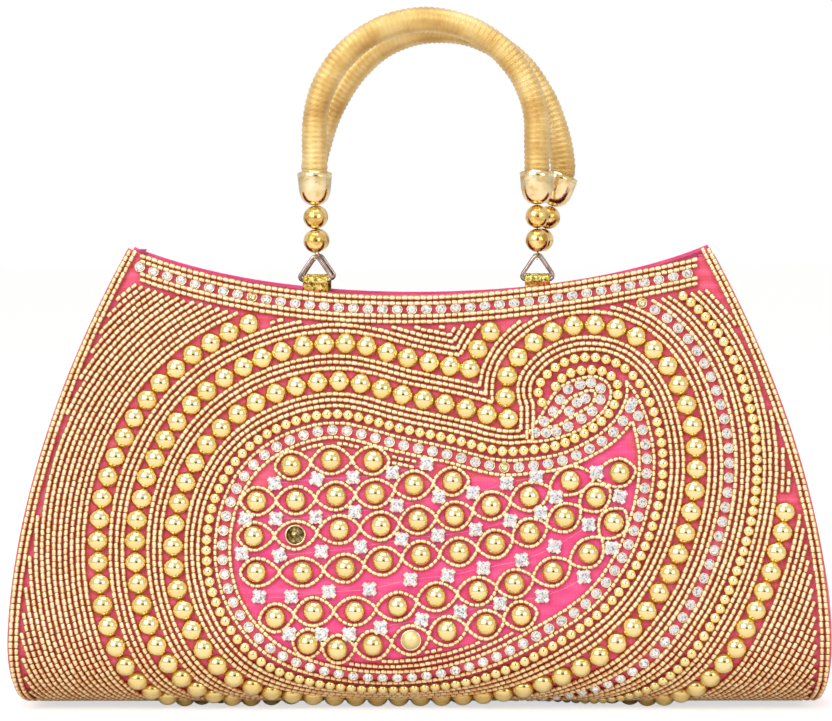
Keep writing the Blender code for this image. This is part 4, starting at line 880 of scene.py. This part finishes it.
stone_chain("stone_chain_under_mouth", evenly(under_mouth(5.75), 5.55 * MM)[0],
            "stone_chain_top", [(-62.8, 126.8)])
stone_chain("stone_chain_right_side", evenly(longest(round_paisley(
    25.0, right_family, top=13, side=7)), 5.6 * MM, (84.2, 121.5))[0], "stone_chain_right",
    [(84.2, 121.5)])
stone_chain("stone_chain_in_paisley", evenly(offset_loop(inner_outline, -6 * MM), 5.55 * MM)[0],
            "stone_chain_paisley", [(34.0, 61.3)])
stone_chain("stones_in_curl", metres(CURL_STONES), "curl_rows")

# The lattice: big beads, claw stones between them, and two strings crossing round each bead
upright = [tuple(np.round(p / MM, 1)) not in (MIRROR_BEAD, DULL_BEAD) for p in bead_points]
batches = [bead_batch(big_bead, bead_points[upright], 0.0, 0.0)]
disc = turned_form([(3.9 * MM, 0.3 * MM), (4.0 * MM, 1.4 * MM), (3.75 * MM, 1.9 * MM),
                    (3.45 * MM, 1.75 * MM)], 20)
face = turned_form([(3.4 * MM, 1.2 * MM), (3.4 * MM, 1.8 * MM)], 20)
flipped = metres([MIRROR_BEAD, DULL_BEAD])
batches.append(bead_batch(disc, flipped, 0.0, 0.0))
for k in (0, 1):
    batches.append(with_slot(bead_batch(face, flipped[k:k + 1], 0.0, 0.0), 1 + k))
turns = rng.normal(0, 0.12, len(claw_points))
batches += [with_slot(bead_batch(claw_plate, claw_points, turns, 0.0), 3),
            with_slot(bead_batch(claw_setting, claw_points, turns, 0.0), 3),
            with_slot(bead_batch(claw_stone, claw_points, turns, 0.0), 4)]
build_mesh("lattice_beads_and_stones", batches,
           [bead_gold, mirror_back, flat_gold, setting, crystal], ("lattice",))


BRAID_HALF = 5.3 * MM       # from a row's middle out to its strings at their widest
BRAID_FULLNESS = 0.72


def beyond(last, before):
    """Where the strings of a row meet past its last bead: half a step on, or less."""
    step = last * 1.5 - before * 0.5 - last
    return last + step * min(1, 6.2 * MM / np.hypot(*step))


braids = []
for row in LATTICE:
    row = metres(row)
    ends = [beyond(row[0], row[1]), *row, beyond(row[-1], row[-2])]
    share = np.concatenate([[-0.5], np.arange(len(row)), [len(row) - 0.5]])
    s = np.linspace(-0.5, len(row) - 0.5, 40 * len(row))
    middle = np.stack([np.interp(s, share, np.array(ends)[:, i]) for i in (0, 1)], axis=1)
    ahead = np.gradient(middle, axis=0)
    side = np.stack([-ahead[:, 1], ahead[:, 0]], axis=1) / np.hypot(*ahead.T)[:, None]
    wave = np.cos(math.pi * s)
    wave = np.sign(wave) * np.abs(wave) ** BRAID_FULLNESS * BRAID_HALF
    braids += [middle + side * wave[:, None], middle - side * wave[:, None]]
points, headings = strung(braids, 2.05 * MM, wobble=0.08 * MM)
build_mesh("lattice_bead_strings",
           [bead_batch(seed, points, headings, 0.85 * MM, SEED_STRETCH)], [bugle_glass])

threads = []
for row in CLAW_ROWS:
    if len(row) > 2:
        path = spline(metres(row), False, 3 * MM)
        threads.append(single(tube_form(sweep(cloth(*path.T, 0.5 * MM), 0.09 * MM, 5))))
build_mesh("claw_stone_threads", threads, [nylon])


# Silk, lining and gussets

def wall_form(outer, inner):
    """Closed wall between two grids of points, outer face first."""
    rows, columns = outer.shape[:2]
    index = np.arange(rows * columns).reshape(rows, columns)
    shift = rows * columns
    face = grid_faces(rows, columns)
    rim = np.concatenate([index[0, :-1], index[:-1, -1], index[-1, :0:-1], index[:0:-1, 0]])
    after = np.roll(rim, -1)
    edge = np.stack([after, rim, rim + shift, after + shift], axis=1)
    points = np.concatenate([outer.reshape(-1, 3), inner.reshape(-1, 3)])
    return points, [(face, True, 0), (face[:, ::-1] + shift, True, 0), (edge, True, 0)]


def facing_out(form, outward):
    """Form with its faces turned round where its first face doesn't point outward."""
    points, faces = form
    corners = points[faces[0][0][0]]
    normal = np.cross(corners[1] - corners[0], corners[2] - corners[0])
    if normal @ np.asarray(outward) < 0:
        faces = [(polygons[:, ::-1], soft, slot) for polygons, soft, slot in faces]
    return points, faces


def ripple(a, b, size):
    """Soft unevenness of stretched silk: three crossing sine waves of 20 to 60 mm."""
    a, b = a / MM, b / MM
    return size * (np.sin(a / 9.1 + b / 23) + np.sin(b / 7.3 - a / 31)
                   + np.sin((a + b) / 5.7) * 0.5) / 2.5


def panel(low_v, columns, rows, depth, back, puff, drop=0.0, inset=0.0):
    """Grid down the cloth from the mouth to low_v, with the silk's unevenness in h."""
    share = np.linspace(-1, 1, columns)
    down = np.linspace(0, 1, rows)[:, None]
    top_u = share * (half_width(FLAT_LENGTH) - inset)
    top_v = mouth_v(top_u, back) - drop
    v = top_v + (low_v - top_v) * down ** 0.96
    u = share * (half_width(v) - inset)
    grid = cloth(u, v, -depth + ripple(u, v, puff) * np.minimum(1, (1 - np.abs(share)) * 12))
    if back:
        grid[..., 1] = 2 * SETBACK - grid[..., 1]
    return grid


form = facing_out(wall_form(*(
    panel(SEAM_V, columns=200, rows=220, depth=depth, back=False, puff=puff)
    for depth, puff in ((-0.02 * MM, 0.05 * MM), (1 * MM, 0.0)))), (0, -1, 0))
piece = build_mesh("silk_front", [single(form)], [silk_painted_bead_light], ("front_cover",))
# Shade 1 inside the lattice's field, where the silk keeps its own hot pink; elsewhere its colour
# is painted coral, as light thrown by the bead rows.
heart = metres(LATTICE_FIELD)
middle = form[0][:, [0, 2]]
height = (middle[:, 1] - centre[1]) / math.cos(LEAN)
near = np.stack([middle[:, 0], height], axis=1)
ends = np.roll(heart, -1, axis=0)
crossing = ((heart[:, 1] > near[:, None, 1]) != (ends[:, 1] > near[:, None, 1])) & (
    near[:, None, 0] < heart[:, 0] + (near[:, None, 1] - heart[:, 1])
    / (ends[:, 1] - heart[:, 1]) * (ends[:, 0] - heart[:, 0]))
set_shade(piece, (crossing.sum(axis=1) % 2).astype(float))
back_seam = BASE_V - (BASE_DEPTH / 2 - EDGE_RADIUS - SEAM_BACK)
form = facing_out(wall_form(*(
    panel(back_seam, columns=90, rows=100, depth=depth, back=True, puff=puff)
    for depth, puff in ((0.0, 0.35 * MM), (1.1 * MM, 0.0)))), (0, 1, 0))
build_mesh("silk_back", [single(form)], [silk], ("back_cover",))


def gusset(side, depth, thick, inset, rows, columns, crease, top_drop=0.5 * MM):
    """Side wall between the covers: bulged out low down, folded in at the mouth."""
    top = min(float(mouth_v(side * MOUTH_HALF)), float(mouth_v(MOUTH_HALF, True))) - top_drop
    v = np.linspace(top, BASE_V, rows)
    share = np.linspace(-1, 1, columns)
    rise = np.clip(v / FLAT_LENGTH, 0, 1)
    bulge = 2.2 * MM * (1 - rise) - 5 * MM * rise ** 2
    edge = cloth(0.0, v, -depth)
    widest = (SETBACK - cloth(0.0, v, -1.3 * MM)[:, 1])[:, None]
    grids = []
    for inward in (0.0, thick):
        y = (SETBACK - edge[:, 1])[:, None] * share
        x = (half_width(v) - inset - inward)[:, None] + bulge[:, None] * (1 - (y / widest) ** 2)
        x = x + crease * np.sin(v / MM / 6)[:, None] * (1 - share ** 2)
        grids.append(np.stack([side * x, y + SETBACK, np.broadcast_to(
            edge[:, 2][:, None], x.shape)], axis=-1))
    return facing_out(wall_form(*grids), (side, 0, 0))


for name, side in (("left", -1), ("right", 1)):
    build_mesh(f"silk_gusset_{name}", [single(gusset(
        side, depth=1.3 * MM, thick=1 * MM, inset=0.2 * MM, rows=70, columns=24,
        crease=0.12 * MM))], [silk],
        (f"{name}_gusset",))
    build_mesh(f"lining_gusset_{name}", [single(gusset(
        side, depth=4.0 * MM, thick=0.6 * MM, inset=1.8 * MM, rows=40, columns=16,
        crease=0.1 * MM, top_drop=1.5 * MM))], [lining_silk],
        (f"{name}_gusset_lining",))
grids = []
for depth, puff in ((2.8 * MM, 0.0), (3.4 * MM, 0.1 * MM)):
    front, back = (panel(BASE_V - 12 * MM, columns=50, rows=60, depth=depth, back=back, puff=puff,
                         drop=0.6 * MM, inset=3.2 * MM) for back in (False, True))
    grids.append(np.concatenate([front, back[-2::-1]]))
build_mesh("lining_silk", [single(facing_out(wall_form(*grids), (0, -1, 0)))],
           [lining_silk], ("lining",))


# Handles

RING_SPACING = 84.4 * MM
HANDLE_X = 3 * MM
GRIP_R = 4.95 * MM
TURN_PITCH = 2.0 * MM       # of the wound thread
GROOVE = 0.10               # depth between its turns, as a share of the radius
RING_APEX_Z = 9.054 * MM
CAP_UP = 19.5 * MM
BARS = {"front": np.array([HANDLE_X, -10.059 * MM, 162.604 * MM]),
        "back": np.array([HANDLE_X, 14.259 * MM, 162.604 * MM])}
SPLAY = {("front", -1): 0.0, ("front", 1): 0.0,
         ("back", -1): math.radians(3), ("back", 1): math.radians(17)}
LEG_LEAN = {-1: math.radians(11), 1: math.radians(4)}
BACK_TOP_SHIFT = 5 * MM
FRONT_CENTRE_Z = (98.6 - 42.2) * MM      # centre of the front grip's half circle
BACK_TOP_Z = 95.4 * MM
BACK_ROUNDNESS = 0.56                    # reach of the back grip's curve handles


def arch_line(end):
    """Centre line of a grip from its left end to its right."""
    left, right = (half_arch(end, side) for side in (-1, 1))
    whole = np.vstack([left * [-1, 1], right[-2::-1]])
    return np.stack([whole[:, 0], np.zeros(len(whole)), whole[:, 1]], axis=1)


def half_arch(end, side):
    """Half a grip: straight in its cap, then a quarter circle or a cubic Bezier curve."""
    splay = SPLAY[end, side]
    lean = np.array([math.sin(splay), math.cos(splay)])
    foot = np.array([RING_SPACING / 2, RING_APEX_Z]) + (CAP_UP + 5.6 * MM) * lean
    neck = foot + 8.9 * MM * lean
    if end == "back":
        top = np.array([side * BACK_TOP_SHIFT, BACK_TOP_Z])
        before = neck + BACK_ROUNDNESS * (top[1] - neck[1]) * np.array(
            [-math.tan(LEG_LEAN[side]), 1])
        after = top + [BACK_ROUNDNESS * (neck[0] - top[0]), 0]
        t = np.linspace(0, 1, 200)[:, None]
        curve = ((1 - t) ** 3 * neck + 3 * t * (1 - t) ** 2 * before
                 + 3 * t ** 2 * (1 - t) * after + t ** 3 * top)
    else:
        turn = np.linspace(0, math.pi / 2, 200)
        curve = np.stack([np.cos(turn), np.sin(turn)], axis=1) * RING_SPACING / 2
        curve[:, 1] += FRONT_CENTRE_Z
    return np.vstack([foot, curve])


def wound_grip(end):
    """Thread wound on a cord: the radius swells over each turn as a root of a sine."""
    path = arch_line(end) + BARS[end]
    length = np.concatenate([[0], np.cumsum(np.linalg.norm(np.diff(path, axis=0), axis=1))])
    at = np.arange(0, length[-1], TURN_PITCH / 5)
    line = np.stack([np.interp(at, length, path[:, i]) for i in range(3)], axis=1)
    sides = 22
    angle = around(sides)
    phase = at[:, None] / TURN_PITCH + 0.12 * angle / (2 * math.pi)
    swell = np.abs(np.sin(math.pi * phase)) ** 0.6
    uneven = 1 + 0.012 * np.sin(at / MM / 6.1)[:, None] + 0.01 * np.sin(at / MM / 2.7)[:, None]
    rings = sweep(line, GRIP_R, sides)
    radius = (1 - GROOVE * (1 - swell)) * uneven * 0.995
    rings = line[:, None] + (rings - line[:, None]) * radius[..., None]
    return rings, at


def outward_place(end, side):
    """Origin and axes of a link from its ring's apex: z up the link, x outwards."""
    splay = SPLAY[end, side]
    out = np.array([side * math.cos(splay), 0, -math.sin(splay)])
    up = np.array([side * math.sin(splay), 0, math.cos(splay)])
    origin = BARS[end] + [side * RING_SPACING / 2, 0, RING_APEX_Z]
    return origin, np.array([out, np.cross(up, out), up])


def cap_form():
    """Bell cap whose rim rises to two points front and back and dips at the sides."""
    profile = np.array([(0.7, 0.0), (1.5, 0.0), (3.2, 0.6), (4.7, 1.9), (5.6, 3.8), (6.1, 6.2),
                        (6.3, 9.0), (6.45, 11.0), (6.6, 13.0), (6.25, 13.0), (5.75, 11.0),
                        (5.5, 6.0), (5.4, 4.6)]) * MM
    sides = 32
    points = revolve(profile[:, :1], profile[:, 1:], sides)
    turn = around(sides)
    share = np.clip((points[..., 2] - 6 * MM) / (7 * MM), 0, 1)
    points[..., 2] -= share * 1.1 * MM * (0.5 + 0.5 * np.cos(2 * turn + 0.5))
    return looped_form(points)


def round_bead_form():
    """Drilled round bead, its pole turned in to the hole."""
    angle = np.radians(np.linspace(-78, 78, 15))
    profile = np.vstack([4.45 * MM * np.stack([np.cos(angle), np.sin(angle)], axis=1),
                         [[0.6 * MM, 3.9 * MM], [0.6 * MM, -3.9 * MM]]])
    return looped_form(revolve(profile[:, :1], profile[:, 1:], 24))


def ring_line():
    """Centre line of a triangle ring with its bar on the X axis, round at its corners."""
    corners = np.array([[-7.0, 0], [0, 10.3], [7.0, 0]]) * MM
    path = []
    for i, radius in enumerate((1.3 * MM, 1.7 * MM, 1.3 * MM)):
        a, b = (corners[j] - corners[i] for j in ((i + 2) % 3, (i + 1) % 3))
        a, b = a / np.hypot(*a), b / np.hypot(*b)
        half = math.acos(a @ b) / 2
        middle = corners[i] + (a + b) / np.hypot(*(a + b)) * radius / math.sin(half)
        start, end = (corners[i] + side * radius / math.tan(half) - middle for side in (a, b))
        first = math.atan2(start[1], start[0])
        swing = (math.atan2(end[1], end[0]) - first + math.pi) % (2 * math.pi) - math.pi
        turn = first + np.linspace(0, 1, 9) * swing
        path.append(middle + radius * np.stack([np.cos(turn), np.sin(turn)], axis=1))
    path = np.vstack(path)
    line = []
    for a, b in zip(path, np.roll(path, -1, axis=0)):
        count = max(1, int(np.hypot(*(b - a)) / (1.2 * MM)))
        line += [a + (b - a) * k / count for k in range(count)]
    line = np.array(line)
    return np.stack([line[:, 0], np.zeros(len(line)), line[:, 1]], axis=1)


def tab_form(end, side):
    """Cloth tab rolled round the ring's bar, its two tails going down into the seam."""
    bar = BARS[end] + [side * RING_SPACING / 2, 0, 0]
    tilt = LEAN if end == "back" else -LEAN
    inner, outer = 1.2 * MM, 1.85 * MM
    turn = np.radians(np.linspace(-55, 235, 21))
    under = np.radians((248, 262, 278, 292))
    loop = [(outer * math.cos(a), outer * math.sin(a)) for a in turn]
    loop += [(-0.62 * MM, -2.4 * MM), (-0.6 * MM, -9.8 * MM), (0.6 * MM, -9.8 * MM),
             (0.62 * MM, -2.4 * MM)]
    hole = [(inner * math.cos(a), inner * math.sin(a)) for a in (*turn, *under)]
    rings = []
    spread = np.linspace(-1, 1, 12)
    for part, order in ((loop, spread), (hole, spread[::-1])):
        for x in order:
            yz = np.array(part) * (1 + 0.03 * math.sin(9 * x + 3 * side)) @ np.array(
                [[math.cos(tilt), math.sin(tilt)], [-math.sin(tilt), math.cos(tilt)]])
            rings.append(np.column_stack([np.full(len(yz), x * 4.7 * MM), yz]) + bar)
    return looped_form(np.array(rings))


cap, round_bead, triangle = cap_form(), round_bead_form(), ring_line()
for end in ("front", "back"):
    rings, at = wound_grip(end)
    handle = f"{end}_handle"
    piece = build_mesh(f"{end}_wound_grip", [single(tube_form(rings))], [wound],
                       (f"{end}_handle_grip",), handle)
    set_shade(piece, np.repeat(at, rings.shape[1]))
    for name, side in (("left", -1), ("right", 1)):
        origin, axes = outward_place(end, side)
        build_mesh(f"{end}_bell_cap_{name}", [single(cap, origin + axes[2] * CAP_UP, axes)],
                   [cap_gold], (f"{end}_cap_{name}",), handle)
        for level, height in (("lower", 5.85 * MM), ("upper", 14.85 * MM)):
            spin = np.array([[0.8, 0.6, 0], [-0.6, 0.8, 0], [0, 0, 1]]) @ axes
            build_mesh(f"{end}_foiled_bead_{level}_{name}", [
                single(round_bead, origin + axes[2] * height, spin)], [foil_gold],
                (f"{end}_bead_{level}_{name}",), handle)
        middle = BARS[end] + [side * RING_SPACING / 2, 0, 0]
        wires = [single(looped_form(sweep(triangle + middle + [0, shift, 0], 0.72 * MM, 10,
                                          closed=True)))
                 for shift in (-0.42 * MM, 0.42 * MM)]
        build_mesh(f"{end}_wire_ring_{name}", wires, [ring_steel],
                   (f"{end}_ring_{name}",), f"{end}_ring_{name}")
        build_mesh(f"{end}_rolled_tab_{name}", [single(tab_form(end, side))], [lurex],
                   (f"{end}_tab_{name}",))

for name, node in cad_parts.items():
    finish = (board_paper if "board" in name else snap_brass if "snap" in name
              else cap_gold if "link" in name else None)
    if finish:
        node.data.materials.clear()
        node.data.materials.append(finish)


# Floor, light and camera

LENS, SENSOR = 180.85, 36
CAMERA_AIM, CAMERA_AWAY = np.array([-0.0014, 0, 0.1315]), 1.6
LIGHT_AIM = (0, 0, 0.1)
PAPER_GLOW = 1.86           # brings the paper up to white for the camera alone
PAPER_SHARE = 0.35
WORLD_LIGHT = 0.55          # white surroundings as they light the bag; they show at 1
GLOSSY_SHARE = 0.6          # how far reflections see them as the camera does

bpy.ops.mesh.primitive_plane_add(size=12, location=(0, 1.5, 0))
floor = bpy.context.object
floor.name = "floor"
# Seamless white paper: it shows white to the eye and keeps a soft shadow.
paper, tree, shader = material("white_paper", "F4F3F1", 0.9)
path_kind = add(tree, "ShaderNodeLightPath").outputs
seen = path_kind["Is Camera Ray"]
glow = add(tree, "ShaderNodeEmission", Color=linear("FFFFFF"), Strength=PAPER_GLOW)
share = maths(tree, "MULTIPLY", seen, PAPER_SHARE)
mix = add(tree, "ShaderNodeMixShader", _0=share, _1=shader.outputs[0], _2=glow.outputs[0])
tree.links.new(mix.outputs[0], tree.nodes["Material Output"].inputs["Surface"])
floor.data.materials.append(paper)

world = bpy.data.worlds.new("studio")
bpy.context.scene.world = world
world.use_nodes = True
tree = world.node_tree
back = tree.nodes["Background"]
path_kind = add(tree, "ShaderNodeLightPath").outputs
seen = maths(tree, "MAXIMUM", path_kind["Is Camera Ray"], path_kind["Is Transmission Ray"])
seen = maths(tree, "MULTIPLY_ADD", path_kind["Is Glossy Ray"], GLOSSY_SHARE, seen)
strength = maths(tree, "MULTIPLY_ADD", seen, 1 - WORLD_LIGHT, WORLD_LIGHT)
back.inputs["Color"].default_value = (1, 1, 1, 1)
tree.links.new(strength, back.inputs["Strength"])


def softbox(name, place, size, power):
    """Square area lamp at place, turned to the middle of the bag."""
    lamp = bpy.data.lights.new(name, "AREA")
    lamp.size = size
    lamp.energy = power
    box = bpy.data.objects.new(name, lamp)
    box.location = place
    toward = np.array(LIGHT_AIM) - np.array(place)
    box.rotation_euler = Vector(toward).to_track_quat("-Z", "Y").to_euler()
    bpy.context.collection.objects.link(box)


softbox("key_softbox", (-0.9, -1.35, 1.1), size=1.2, power=17)
softbox("fill_softbox", (1.0, -1.1, 0.6), size=0.6, power=4)
softbox("top_softbox", (0, -0.1, 1.4), size=0.9, power=8)

# The dark of the room round the camera, seen only in what is shiny
bpy.ops.mesh.primitive_plane_add(size=1, location=(0.32, -1.75, 0.42))
room = bpy.context.object
room.name = "dark_room"
room.scale = (0.72, 0.66, 1)
room.rotation_euler = (math.radians(90), 0, 0)
room.data.materials.append(surface("dark_room_cloth", "1B1A16", 0.9, 0.0))
room.visible_camera = room.visible_diffuse = room.visible_shadow = False
room.visible_transmission = False

camera_data = bpy.data.cameras.new("camera")
camera = bpy.data.objects.new("camera", camera_data)
bpy.context.collection.objects.link(camera)
bpy.context.scene.camera = camera
camera_data.lens = LENS
camera_data.sensor_width = SENSOR
AZIMUTH, ELEVATION, ROLL = (math.radians(a) for a in (-2.0, 2.55, -0.275))
ahead = np.array([math.sin(AZIMUTH) * math.cos(ELEVATION),
                  math.cos(AZIMUTH) * math.cos(ELEVATION), -math.sin(ELEVATION)])
right = np.cross(ahead, [0, 0, 1])
right /= np.linalg.norm(right)
up = np.cross(right, ahead)
right, up = (right * math.cos(ROLL) + up * math.sin(ROLL),
             up * math.cos(ROLL) - right * math.sin(ROLL))
turned = np.eye(4)
turned[:3, :3] = np.stack([right, up, -ahead], axis=1)
turned[:3, 3] = CAMERA_AIM - ahead * CAMERA_AWAY
camera.matrix_world = Matrix(turned.tolist())

bpy.context.scene.view_settings.view_transform = "Standard"
